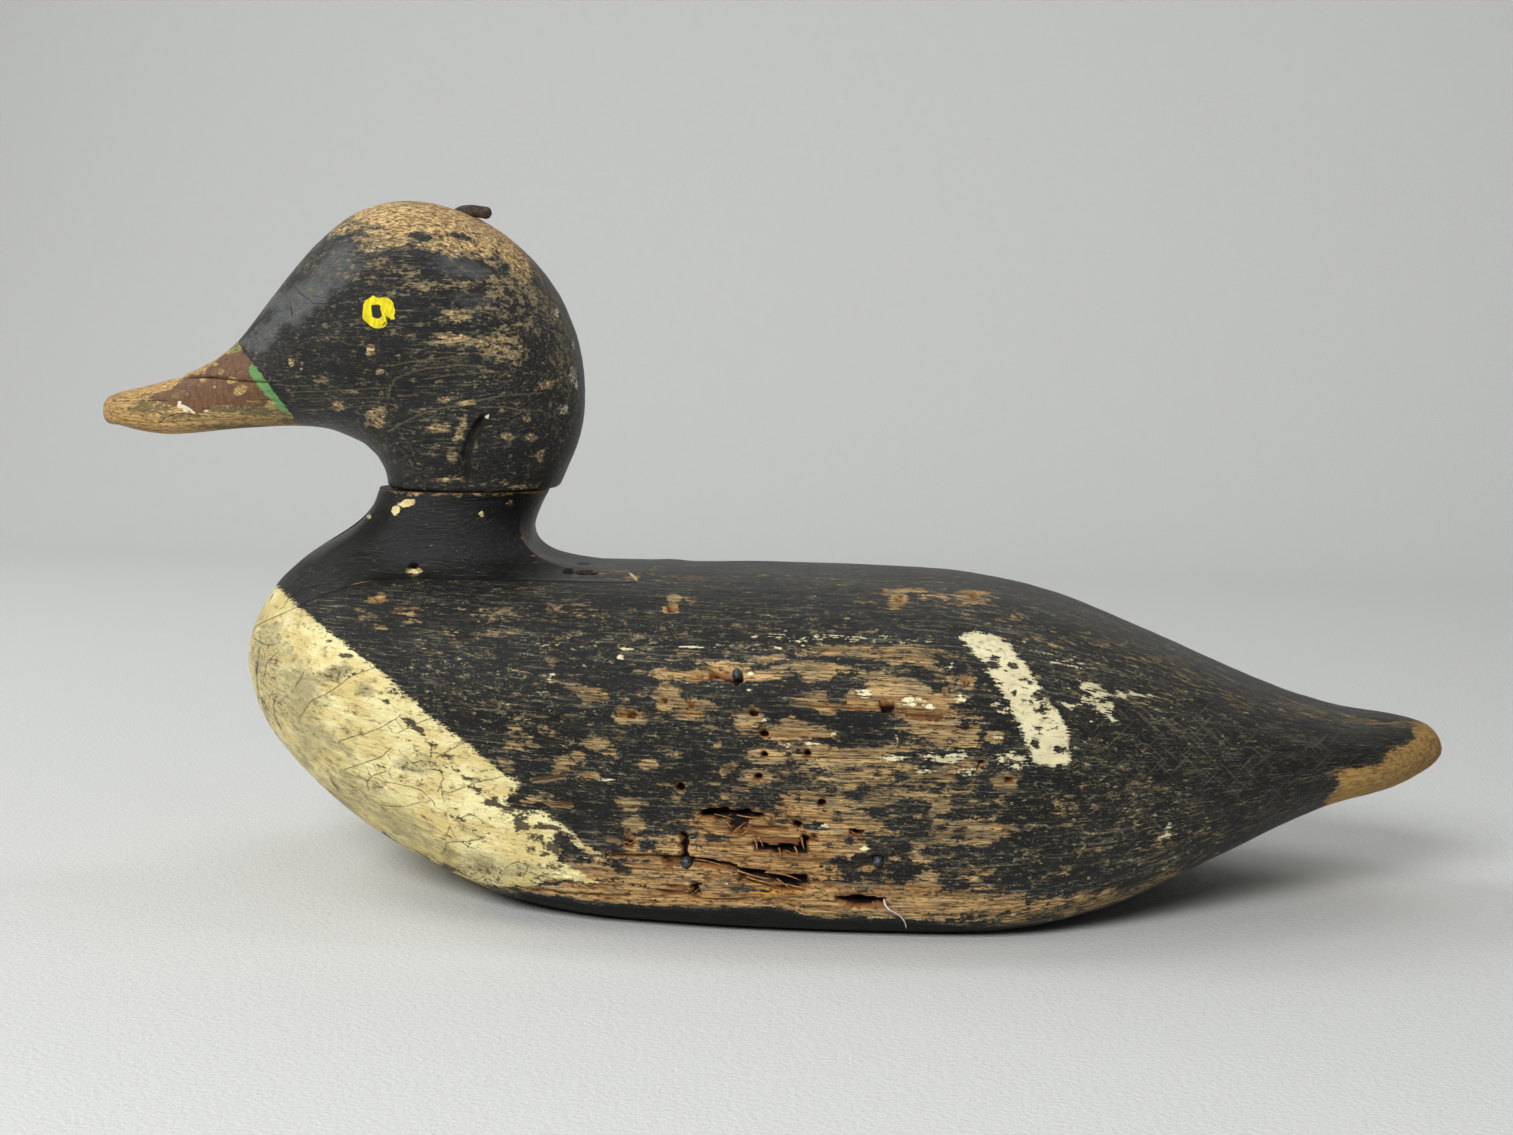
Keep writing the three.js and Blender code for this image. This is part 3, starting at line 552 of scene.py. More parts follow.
# Rotted hollows: outline in pixels, then depth and raggedness in millimetres
ROT_HOLLOWS = [
    ([(699, 811), (713, 809), (730, 813), (745, 811), (764, 818), (748, 821), (742, 833), (733, 832),
     (727, 822), (716, 824), (711, 819), (699, 819)], 3.0, 0.5),
    ([(699, 811), (712, 810), (724, 814), (760, 815), (764, 818), (728, 817), (712, 820), (699, 819)],
     5.2, 0.25),
    ([(728, 822), (742, 820), (756, 833), (740, 839), (731, 834)], 1.8, 0.5),
    ([(748, 827), (790, 829), (786, 832), (752, 831)], 1.6, 0.2),
    ([(752, 836), (800, 839), (806, 836), (808, 856), (778, 856), (754, 851)], 1.1, 0.25),
    ([(753, 845), (772, 847), (798, 848), (801, 838), (806, 840), (806, 857), (776, 855), (754, 852)],
     4.8, 0.3),
    ([(801, 835), (812, 838), (818, 839), (806, 843)], 2.0, 0.3),
    ([(679, 834), (686, 836), (686, 852), (689, 863), (682, 866), (680, 850)], 3.2, 0.3),
    ([(688, 859), (712, 861), (735, 866), (734, 870), (706, 865), (688, 864)], 4.4, 0.2),
    ([(660, 857), (684, 858), (687, 867), (668, 867), (660, 863)], 2.2, 0.5),
    ([(732, 870), (760, 872), (776, 876), (806, 880), (808, 890), (782, 893), (760, 887), (744, 884)],
     2.3, 0.7),
    ([(734, 871), (764, 873), (770, 878), (742, 879)], 4.2, 0.3),
    ([(772, 879), (802, 880), (807, 890), (786, 891), (776, 886)], 4.6, 0.5),
    ([(690, 887), (699, 886), (700, 900), (692, 900)], 2.6, 0.4),
    ([(654, 891), (670, 893), (697, 897), (696, 900), (662, 897)], 1.4, 0.15),
    ([(664, 886), (690, 888), (692, 892), (668, 891)], 1.0, 0.2),
    ([(834, 899), (854, 898), (884, 900), (886, 908), (856, 911), (838, 905)], 3.0, 0.3),
    ([(852, 902), (884, 902), (884, 909), (856, 909)], 5.0, 0.2),
    ([(709, 670), (722, 669.5), (733, 671), (735, 678), (726, 678), (718, 674), (709, 677)], 4.4,
     0.15),
    ([(688, 673), (700, 672), (710, 675), (709, 679), (694, 677)], 1.2, 0.15),
    ([(879, 702), (894, 701), (891, 710), (882, 710)], 4.4, 0.2),
    ([(900, 711), (922, 714), (942, 715), (940, 720), (922, 719)], 2.2, 0.2),
    ([(748, 709), (759, 708), (757, 714), (750, 714)], 2.8, 0.2),
    ([(618, 712), (640, 713), (638, 716), (620, 716)], 2, 0.2),
    ([(674, 711), (702, 712), (702, 715), (676, 714)], 1.4, 0.15),
    ([(545, 803), (573, 804), (570, 809), (548, 808)], 1.6, 0.3),
    ([(848, 830), (864, 832), (862, 838), (850, 836)], 1.8, 0.4),
    ([(794, 822), (801, 824), (800, 831), (795, 829)], 2.4, 0.3),
    ([(626, 828), (634, 838), (632, 850), (624, 842)], 1.6, 0.4),
    ([(604, 836), (620, 840), (618, 846), (606, 842)], 0.9, 0.4),
    ([(704, 880), (716, 876), (722, 880), (708, 884)], 0.8, 0.3),
]
# Cut cracks: places along each, half-width in pixels, depth in millimetres, and where its paint is
# cracked too, the half-width of that in millimetres
CRACKS = [
    ([(610, 857), (640, 857.5), (685, 859)], 1.6, 2),
    ([(532, 781), (545, 780), (563, 777)], 1.5, 1.4, 0.35),
    ([(520, 715), (560, 716), (600, 715.5)], 1, 0.5, 0.12),
    ([(640, 711), (700, 713), (760, 712)], 1, 0.5, 0.2),
    ([(790, 703), (830, 706), (880, 708)], 1.2, 1, 0.18),
    ([(893, 710), (915, 713), (955, 717)], 1.5, 1.6, 0.25),
    ([(530, 893), (570, 897), (628, 899)], 2, 1.2), ([(560, 887), (600, 889), (622, 888)], 1.2, 0.8),
    ([(700, 868), (760, 873), (800, 886), (835, 888)], 1.5, 1.2),
    ([(686, 833), (730, 832), (762, 836)], 1.2, 1), ([(806, 884), (850, 887), (920, 889)], 1.3, 0.9),
    ([(630, 869), (660, 873), (700, 872)], 1, 0.5, 0.12),
    ([(990, 826), (1010, 828), (1020, 830)], 1.3, 1),
    ([(800, 840), (840, 838), (870, 838)], 1, 0.6, 0.15),
    ([(765, 757), (800, 757), (850, 759)], 0.9, 0.4, 0.12),
    ([(650, 900), (720, 903), (800, 905)], 1.2, 0.6),
]
# Painted-in cracks: places along each, half-width in millimetres
FINE_CRACKS = [
    ([(300, 716), (310, 701), (330, 692), (350, 676), (375, 667)], 0.2),
    ([(340, 741), (358, 735)], 0.18), ([(362, 735), (380, 728), (400, 716)], 0.15),
    ([(397, 733), (420, 722), (440, 716)], 0.18), ([(344, 770), (382, 757), (386, 752)], 0.2),
    ([(437, 757), (465, 742)], 0.18), ([(450, 793), (475, 783), (500, 778)], 0.18),
    ([(368, 790), (366, 782), (372, 776), (385, 772)], 0.2),
    ([(444, 852), (446, 835), (452, 822), (460, 818)], 0.2),
    ([(463, 824), (468, 813), (480, 819)], 0.12), ([(445, 843), (465, 842), (480, 840)], 0.2),
    ([(382, 782), (400, 785), (420, 790), (436, 806)], 0.15),
    ([(370, 800), (380, 806), (400, 808), (420, 803)], 0.12),
    ([(424, 760), (436, 764), (443, 778)], 0.18), ([(443, 778), (438, 790), (434, 800)], 0.25),
    ([(404, 757), (412, 764), (424, 760)], 0.12), ([(400, 765), (412, 772), (428, 770)], 0.12),
    ([(254, 639), (264, 645), (271, 644)], 0.25), ([(258, 700), (255, 670), (258, 648)], 0.2),
    ([(262, 680), (266, 662), (276, 652)], 0.2), ([(273, 704), (274, 716), (280, 730)], 0.25),
    ([(296, 684), (302, 675)], 0.3), ([(340, 672), (335, 681)], 0.15), ([(338, 791), (330, 780)], 0.3),
    ([(370, 663), (397, 658), (430, 652), (470, 646)], 0.12),
    ([(460, 712), (480, 705), (520, 697), (580, 692)], 0.12),
    ([(1118, 771), (1150, 787), (1186, 810)], 0.15),
    ([(1225, 728), (1255, 742), (1282, 756), (1321, 785)], 0.15), ([(1186, 810), (1230, 838)], 0.1),
    ([(350, 595), (400, 604), (470, 606), (560, 600)], 0.08),
    ([(600, 620), (700, 618), (800, 622)], 0.1), ([(700, 596), (760, 597), (840, 600)], 0.1),
    ([(990, 600), (1060, 612), (1120, 634)], 0.1), ([(470, 882), (480, 880), (492, 868)], 0.15),
    ([(500, 872), (515, 862), (528, 866), (524, 876)], 0.18),
    ([(606, 857.5), (640, 857.5), (690, 859)], 0.28), ([(690, 886), (760, 888)], 0.15),
]
# Grime on the cream breast, and painted shade where the breast turns under along its front and lower edge
BREAST_GRIME_AND_SHADE = [
    (262, 640, 14, 44, 0.55), (268, 690, 16, 36, 0.5), (300, 700, 26, 44, 0.7, -10),
    (318, 745, 26, 34, 0.6, -30), (350, 790, 30, 26, 0.6, 40), (400, 822, 44, 20, 0.65, 35),
    (440, 850, 30, 14, 0.5, 30), (333, 673, 18, 7, 0.9, -25), (362, 690, 11, 7, 0.8),
    (500, 868, 46, 16, 0.5, 10), (467, 828, 20, 10, 0.5), (420, 766, 20, 14, 0.5),
    (350, 738, 6, 10, 0.6), (285, 655, 8, 12, 0.6), (448, 858, 10, 16, 0.8, -20),
]

HATCHED_AREAS = [
    (1190, 750, 110, 50, 1, 10), (1290, 750, 60, 26, 0.8, 12), (1130, 830, 60, 40, 0.5),
]
ROTTEN_AREAS = [
    (745, 830, 80, 30, 1), (790, 868, 90, 26, 1), (700, 870, 60, 20, 0.7), (725, 672, 50, 10, 0.5),
    (640, 893, 60, 9, 0.6), (850, 890, 90, 16, 0.6), (845, 835, 50, 16, 0.45), (900, 706, 70, 14, 0.5),
    (790, 740, 40, 16, 0.4), (920, 880, 90, 14, 0.35), (600, 880, 80, 14, 0.6),
    (780, 898, 200, 14, 0.8), (960, 908, 100, 10, 0.5), (620, 852, 40, 12, 0.5),
]
FLAKED_AREAS = [
    (1110, 800, 100, 70, 0.9), (1180, 850, 80, 36, 1), (1060, 850, 70, 50, 0.8),
    (1140, 690, 130, 30, 0.9, 25), (1030, 690, 40, 60, 0.6), (480, 690, 110, 50, 0.7, 10),
    (700, 640, 200, 26, 0.8), (560, 740, 80, 40, 0.6),
]
# Where the painted shade under the near side's bare wood begins, in pixels across
GAP_SHADE_START = 470
EATEN_EDGE = [(755, 909, 34, 12, 1), (690, 904, 40, 8, 0.4)]
FRASS = [(776, 893, 20, 6, 1), (762, 899, 12, 3, 0.9)]

# Wear on the far side: middle x and z and reach along each in millimetres, then strength
FAR_WEAR = [
    (18, 24, 52, 15, 0.75), (62, 58, 26, 8, 0.55), (-38, 50, 22, 9, 0.5), (128, 40, 20, 9, 0.45),
]

# Body mesh

FINEST_SPACING = 0.47
SEAM_MARGIN = 0.2


def body_stations():
    spacing = curve([
        (-145, 2.5), (-60, 2.5), (-45, 1), (-26, FINEST_SPACING), (36, FINEST_SPACING), (48, 0.68),
        (60, 1), (80, 1.35), (95, 2.5), (190, 2.5),
    ])

    def step(x):
        to_end = np.minimum(x - BREAST_X, TAIL_TIP_X - x)
        return np.minimum(spacing(x), 0.31 * np.sqrt(np.maximum(to_end, 0) + 0.0006))

    x = spread(BREAST_X + 0.02, TAIL_TIP_X - 0.02, step)
    shelf_end = BLOCK_REAR_X + JOINT_GAP / 2
    x = x[np.abs(x - shelf_end) > SEAM_MARGIN]
    return np.sort(np.concatenate([x, [shelf_end - 0.01, shelf_end + 0.01]]))


def body_rings():
    """Rings of points with one column along the neck block's joint on either side."""
    stations = body_stations()
    over_top = np.linspace(0, 1, 33)[:-1]
    near_side = spread(0, 1, curve([
        (0, 0.0068), (0.26, 0.0051), (0.36, 0.0029), (0.62, 0.0029), (0.72, 0.027), (1, 0.027),
    ]))[:-1]
    far_side = spread(0, 1, lambda f: 0.0135 + 0.0135 * np.clip((0.38 - f) / 0.1, 0, 1))[:-1]
    half_turn = 720
    angle = np.linspace(0, 2 * math.pi, 2 * half_turn + 1) - math.pi / 2
    rings = []
    for x in stations:
        outline = body_point(x, angle)
        length = np.concatenate([[0], np.cumsum(np.linalg.norm(np.diff(outline, axis=0), axis=1))])
        half = length[-1] / 2
        seam = SEAM_HEIGHT(min(x, BLOCK_REAR_X)) - JOINT_GAP / 2
        below = np.interp(seam, outline[: half_turn + 1, 2], length[: half_turn + 1])
        far_seam = min(below, half * 0.97)
        near_seam = length[-1] - far_seam
        place = np.concatenate([
            far_seam + (near_seam - far_seam) * over_top,
            near_seam + (length[-1] - near_seam) * near_side,
            far_seam * far_side,
        ])
        rings.append(np.stack([np.interp(place, length, outline[:, k]) for k in range(3)], axis=-1))
    return np.array(rings)


# Relief of the body

HOLLOW_DEPTH_SCALE = 1.2
SHOT_HOLE_DEPTH_SCALE = 1.6
PELLET_HOLE_DEPTH = 4.2
PELLET_HOLE_GAP = 0.22
STRAKE_RADIUS = 52
LEAST_WEAR = 0.13


def rot_relief(points, u, v):
    """Depth in millimetres of the near side's rot, shot holes and cracks."""
    fray = FIBRE_LUMPS(points, (3, 1.2, 0.7))
    chunks = ROT_LUMPS(points, (2.6, 2, 1.2))
    depth = np.zeros(u.shape)
    ends = FIBRE_LUMPS(points + 53, (11, 3, 0.55))
    for outline, cut, ragged in ROT_HOLLOWS:
        inside = inside_outline(u + 8 * ragged * ends, v + 2 * ragged * chunks, outline)
        hollow = cut * smooth((inside + ragged * fray + 0.3) / 0.5) * (1 + 0.2 * chunks)
        depth = np.maximum(depth, HOLLOW_DEPTH_SCALE * hollow)
    for cu, cv, radius, cut in SHOT_HOLES:
        distance = np.hypot(u - cu, (v - cv) * 1.15) + 1.1 * chunks
        shot_hole = cut * smooth((1.1 * radius - distance) / (0.5 * radius))
        depth = np.maximum(depth, SHOT_HOLE_DEPTH_SCALE * shot_hole)
    for x, z, _ in PELLETS.values():
        distance = np.hypot(points[..., 0] - x, points[..., 2] - z)
        inside = np.where(points[..., 1] < 0, PELLET_RADIUS + PELLET_HOLE_GAP - distance, -99)
        depth = np.maximum(depth, PELLET_HOLE_DEPTH * smooth((inside + 0.25 * chunks) / 0.55))
    for line, width, cut, *_ in CRACKS:
        distance = line_distance(u, v, line) + 0.7 * fray
        depth = np.maximum(depth, cut * smooth(1.15 - distance / (width + 0.9)))
    return depth


def split_layers(points):
    """Torn layers of wood along the grain, from -1 to 1, and how near each place is to a layer's edge."""
    level = 3 * FIBRE_LUMPS(points + 31, (17, 3, 1.7)) + 0.9 * ROT_LUMPS(points + 31, (5, 2, 0.8))
    part = level - np.floor(level)
    layers = (np.floor(level) + smooth((part - 0.76) / 0.24)) / 3
    return layers, smooth(1 - np.abs(part - 0.9) / 0.12)


def strake(points):
    """A height that follows the form round the slice and along to the tail, in millimetres."""
    middle, up, down, half, _, _ = body_slice(points[..., 0])
    rise = points[..., 2] - middle
    upwards = rise / np.maximum(np.where(rise > 0, up, down), 1)
    sideways = np.abs(points[..., 1]) / np.maximum(half, 1)
    return STRAKE_RADIUS * np.arctan2(upwards, sideways)


def beside_joint(points):
    """1 along the neck block's joint, where the body lies flush with the block, 0 away from it."""
    x, z = points[..., 0], points[..., 2]
    below_side = smooth(1 - (SEAM_HEIGHT(x) - z) / 4)
    behind_end = smooth(1 - (x - BLOCK_REAR_X) / 9) * smooth((z - 78) / 4)
    return np.where(x < BLOCK_REAR_X, below_side, behind_end)


def waterline(x):
    """Length along the body's widest line from the breast to x, in millimetres."""
    fine = np.linspace(BREAST_X, TAIL_TIP_X, 4000)
    steps = np.hypot(np.diff(fine), np.diff(body_slice(fine)[3]))
    return np.interp(x, fine, np.concatenate([[0], np.cumsum(steps)]))


def wood_lower_edge(u):
    """Where the near side's bare wood ends, in pixels down the photograph."""
    edge_u, edge_v = np.array(WOOD_LOWER_EDGE, float).T
    return np.interp(u, edge_u, edge_v)


def body_relief(points, normals):
    """Inward relief of the body in millimetres, with the marks that its finish reads."""
    u, v = in_photograph(points)
    near = near_half(points)
    facing = smooth((0.35 - normals[..., 1]) * 2) * near
    underside = facing_down(normals)
    on_flank = facing * (1 - underside)
    cut = rot_relief(points, u, v) * on_flank
    rotten = patches(u, v, ROTTEN_AREAS) * on_flank
    grain = FIBRE_LUMPS(points, (22, 1.5, 1.1))
    fine_grain = ROT_LUMPS(points, (12, 0.9, 0.7))
    carving = BROAD_LUMPS(points, (26, 16, 12))
    wear = 0.10 * (1 - grain) + 0.05 * (1 - fine_grain) + 0.22 * (1 - carving)
    wear = wear * (1 - beside_joint(points))
    layers, ledge_shade = split_layers(points)
    furrows = rotten * (0.32 * (1 - grain) + 0.2 * (1 - fine_grain) + 0.55 * (1 - layers))
    moved = drift(points)
    diagonal = 1.41 * PIXELS_PER_MM
    # Painted shade: a band just under the near side's bare wood, for the shadowed gap beneath the body
    gap_shade_band = smooth((v - wood_lower_edge(u) - 1) / 4) * smooth((u - GAP_SHADE_START) / 60) * near
    eaten = patches(u, v, EATEN_EDGE) * on_flank * (1.2 + 0.5 * grain)
    marks = {
        "cream": np.where(points[..., 0] < 40, inside_outline(u, v, CREAM_BREAST), -20),
        "stripe": inside_outline(u, v, WING_STRIPE),
        "bare_tail": np.where(points[..., 0] > 120, inside_outline(u, v, BARE_TAIL), -20),
        "stripe_chips": patches(u, v, STRIPE_CHIPS),
        "cream_chips": patches(u, v, CREAM_CHIPS, moved),
        "grime_and_shade": patches(u, v, BREAST_GRIME_AND_SHADE, moved),
        "flecks": patches(u, v, CREAM_FLECKS, moved) * on_flank,
        "bare": body_wear(points, u, v, moved, on_flank, underside),
        # How deep the hollows are: the finish lays bare and torn wood in them, and painted shade in the
        # deepest
        "hollow_depth_and_shade": np.clip(cut / 4, 0, 1),
        "rotten": np.clip(rotten + np.clip(cut, 0, 1), 0, 1),
        "strake": strake(points),
        "along": waterline(points[..., 0]),
        "frass": patches(u, v, FRASS, moved) * on_flank,
        # Painted shade on the steps between torn layers of the rotted wood
        "ledge_shade": ledge_shade * smooth(rotten * 1.6 - 0.2),
        # Painted shade: near black under the near side's wood edge and over the lowest few millimetres all
        # round
        "painted_gap_shade": np.maximum(gap_shade_band, smooth((5 - points[..., 2]) / 3)),
        "hatched": patches(u, v, HATCHED_AREAS, moved),
        "flaked": patches(u, v, FLAKED_AREAS, moved) * on_flank,
        "hatch_down": (u + v) / diagonal,
        "hatch_up": (u - v) / diagonal,
    }
    lines = FINE_CRACKS + [(line, width) for line, _, _, *widths in CRACKS for width in widths]
    marks["crack_side"], marks["crack_near"] = line_marks(u, v, lines, near * (1 - underside))
    return cut + wear + furrows + eaten, marks


def body_wear(points, u, v, moved, on_flank, underside):
    """How far the black paint is worn to the wood, from 0 to 1, over the whole body."""
    x, z = points[..., 0], points[..., 2]
    islands = patches(u, v, PAINT_ISLANDS, moved)
    dusty_back = (0.03 + 0.08 * smooth((x + 10) / 60)) * smooth((z - 52) / 14)
    near = np.maximum(LEAST_WEAR + dusty_back, patches(u, v, BARE_FLANK, moved)) * (1 - 0.85 * islands)
    near = near * np.where(u > WOOD_LOWER_EDGE[0][0], smooth((wood_lower_edge(u) + 3 - v) / 4), 1)
    far = np.maximum(LEAST_WEAR, sum(
        strength * np.exp(-(((x - middle_x) / length) ** 2) - ((z - middle_z) / height) ** 2)
        for middle_x, middle_z, length, height, strength in FAR_WEAR
    ))
    lower = 0.55 * smooth((14 - z) / 6) * smooth(z / 5)
    wear = near * on_flank + (1 - on_flank) * np.maximum(far, lower)
    return wear * (1 - underside) + 0.3 * underside


def make_body(finish):
    rings = body_rings()
    normals = outward_normals(rings)
    depth, marks = body_relief(rings, normals)
    flat = 1 - smooth((3 - rings[..., 2]) / 2.5) * facing_down(normals)
    rings = rings - normals * (depth * flat)[..., None]
    shelf = np.where(rings[..., 0] < BLOCK_REAR_X + JOINT_GAP / 2, SEAM_HEIGHT(rings[..., 0]), 1e3)
    rings[..., 2] = np.clip(rings[..., 2], 0, shelf - JOINT_GAP / 2)
    start = (BREAST_X + 0.2, 0, WIDEST_HEIGHT(BREAST_X))
    end = (TAIL_TIP_X, 0, WIDEST_HEIGHT(TAIL_TIP_X))
    body = ring_piece("painted_body", rings, start, end, finish, marks)
    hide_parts("body")
    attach(body, "root")


# Neck block mesh

def seam_line(side_steps, rear_steps):
    """Where the neck block meets the body, once round as seen from above."""
    rear_x = BLOCK_REAR_X + JOINT_GAP / 2 - 0.06
    front_x = BREAST_X + 0.05
    share = np.linspace(0, 1, side_steps + 1)[:-1]
    x = rear_x + (front_x - rear_x) * np.sin(share * math.pi / 2)
    side = np.stack([x, body_half_width(x, SEAM_HEIGHT(x)), SEAM_HEIGHT(x)], axis=1)
    y = side[0, 1] * np.linspace(0, 1, rear_steps + 1)[:-1]
    rear = np.stack([np.full(rear_steps, rear_x), y, body_top(rear_x, y)], axis=1)
    half = np.vstack([rear, side, [[front_x, 0, float(SEAM_HEIGHT(front_x))]]])
    return np.vstack([half, half[-2:0:-1] * (1, -1, 1)])


def neck_rings(foot, rows):
    """The neck's flare, from its top down to the points of the seam line."""
    angle = np.arctan2(foot[:, 1], foot[:, 0] - NECK_TOP_X)
    c, s = np.cos(angle), np.sin(angle)
    top = np.stack([NECK_TOP_X + NECK_HALF_LENGTH * c, NECK_HALF_WIDTH * s, NECK_TOP_Z + 0 * c], axis=1)
    outwards = -3.4 - 7.4 * c
    down = 14 + 4 * np.maximum(-c, 0) ** 2 + 4.5 * np.maximum(c, 0)
    waist = top + np.stack([outwards * c, outwards * s, -down], axis=1)
    normal = body_normal(np.maximum(foot[:, 0], BREAST_X + 0.3), foot[:, 1], foot[:, 2])
    rise = top - foot
    along = rise - np.sum(rise * normal, axis=1, keepdims=True) * normal
    along /= np.linalg.norm(along, axis=1, keepdims=True)
    reach = FLARE_REACH(c) * np.linalg.norm(rise, axis=1)
    apron = foot + along * reach[:, None]
    level = np.minimum(apron[:, 2], body_top(apron[:, 0], apron[:, 1]))
    apron[:, 2] = np.where(c > 0, level, apron[:, 2])
    t = rows[:, None, None]
    return (1 - t) ** 3 * top + 3 * t * (1 - t) ** 2 * waist + 3 * t * t * (1 - t) * apron + t**3 * foot


NECK_BARE = [
    (505, 492, 62, 2.6, 1), (420, 488, 40, 1.5, 0.6), (600, 571, 40, 8, 0.42), (636, 578, 20, 4, 0.6),
    (414, 569, 8, 4.5, 0.9), (512, 504, 6, 4, 0.5), (528, 535, 8, 5, 0.5), (536, 556, 7, 7, 0.45),
    (380, 583, 30, 2.5, 0.8), (330, 590, 20, 4, 0.4), (500, 583, 90, 1.3, 0.6),
]
NECK_FLECKS = [
    (406, 503, 8, 3.5, 1.2, -12), (395, 510, 4.5, 4, 1.2, -50), (482, 515, 2.5, 3, 1),
    (368, 516, 2, 2, 1), (414, 570, 7, 2.4, 0.85), (634, 577, 8, 1.5, 0.8, 45),
]
NECK_CRACKS = [
    ([(565, 571), (569, 569), (573, 569)], 0.5), ([(577, 561), (590, 562)], 0.35),
    ([(578, 570), (586, 571), (596, 574)], 0.55), ([(530, 568), (536, 572)], 0.15),
    ([(384, 540), (396, 536)], 0.1), ([(285, 600), (300, 588), (330, 582)], 0.12),
]
NECK_PITS = [(568, 570, 4, 2.5), (587, 571.5, 9, 2.2), (584, 561.5, 6, 1.6)]
NAIL_HOLE = (413.5, 564)
NECK_SIDE_COLUMNS, NECK_REAR_COLUMNS, NECK_ROWS = 230, 40, 150


def make_neck(finish):
    foot = seam_line(NECK_SIDE_COLUMNS, NECK_REAR_COLUMNS)
    rings = neck_rings(foot, np.linspace(0, 1, NECK_ROWS))
    normals = outward_normals(rings)
    u, v = in_photograph(rings)
    near = near_half(rings)
    carving = BROAD_LUMPS(rings, (18, 14, 10))
    facets = ROT_LUMPS(rings, (9, 7, 4))
    row = np.linspace(0, 1, len(rings))[:, None]
    between_joints = smooth(row / 0.04) * smooth((1 - row) / 0.12)
    to_rim = (NECK_TOP_Z - rings[..., 2]).clip(0, 9)
    worn_rim = 0.9 * smooth((1.6 - to_rim) / 1.6) * (0.6 + 0.4 * facets)
    depth = (0.3 * (1 - carving) + 0.12 * (1 - facets)) * between_joints + worn_rim
    nail_u, nail_v = NAIL_HOLE
    nail_hole = smooth((5.2 - np.hypot(u - nail_u, (v - nail_v) * 1.3) + facets) / 2.4) * near
    depth = depth + 3.4 * nail_hole
    for cu, cv, length, height in NECK_PITS:
        pit = smooth((1.25 - np.hypot((u - cu) / length, (v - cv) / height)) / 0.5) * near
        depth = depth + 1.3 * pit * smooth((1 - row) / 0.03)
    marks = {
        "cream": inside_outline(u, v, CREAM_BREAST),
        "cream_chips": patches(u, v, CREAM_CHIPS) * near,
        "grime_and_shade": patches(u, v, BREAST_GRIME_AND_SHADE),
        "bare": np.maximum(patches(u, v, NECK_BARE) * near, 0.1 + 0.5 * smooth((2.2 - to_rim) / 2.2)),
        "flecks": patches(u, v, NECK_FLECKS) * near,
        # Painted shade in the upper part of the nail hole and along the top rim where the head sits
        "hollow_depth_and_shade": np.clip(nail_hole * (v < nail_v + 3) * 1.2 + 0.9 * smooth((0.35 - to_rim) / 0.35), 0, 1),
        "satin": smooth((rings[..., 2] - 86) / 3) * smooth((-52 - rings[..., 0]) / 14),
    }
    marks["crack_side"], marks["crack_near"] = line_marks(u, v, NECK_CRACKS, near)
    rings = rings - normals * depth[..., None]
    lip = rings[-1].copy()
    lip[:, 2] = np.minimum(SEAM_HEIGHT(lip[:, 0]) + JOINT_GAP / 2, lip[:, 2])
    middle = np.array((NECK_TOP_X, 0, 0))
    under = middle + (lip - middle) * (0.6, 0.6, 1)
    under[:, 2] = np.maximum(SEAM_HEIGHT(under[:, 0]) + JOINT_GAP / 2, lip[:, 2])
    rings = np.concatenate([rings, lip[None], under[None]])
    marks = {name: np.concatenate([value, value[-1:], value[-1:]]) for name, value in marks.items()}
    start = (NECK_TOP_X, 0, float(rings[0, :, 2].mean()))
    end = (NECK_TOP_X, 0, float(under[:, 2].max()))
    neck = ring_piece("neck_block", rings, start, end, finish, marks)
    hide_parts("neck")
    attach(neck, "root")


# Head mesh

HEAD_ROWS, HEAD_COLUMNS = 300, 310


def head_rings():
    stations = HEAD_STATIONS
    steps = np.hypot(np.diff(stations[:, 0]), np.diff(stations[:, 1]))
    place = np.concatenate([[0], np.cumsum(np.sqrt(steps))])
    q = place[-1] * (np.arange(1, HEAD_ROWS + 1) / HEAD_ROWS) ** 1.15
    columns = [spline(place, stations[:, k])(q)[:, None] for k in range(7)]
    top_x, top_z, bottom_x, bottom_z, half, widest, fullness = columns
    from_tip = (top_x + bottom_x) / 2 - BILL_TIP_X
    rise, side = rounded(from_tip, BILL_TIP_RISE), rounded(from_tip, BILL_TIP_SIDE)
    angle = np.linspace(0, 2 * math.pi, HEAD_COLUMNS, endpoint=False)[None, :]
    c, s = np.cos(angle), np.sin(angle)
    radius = (np.abs(c) ** fullness + np.abs(s) ** fullness) ** (-1 / fullness)
    level = widest + np.where(s >= 0, 1 - widest, widest) * rise * radius * s
    x = bottom_x + (top_x - bottom_x) * level
    z = bottom_z + (top_z - bottom_z) * level
    return np.stack([x, half * side * radius * c, z], axis=-1)


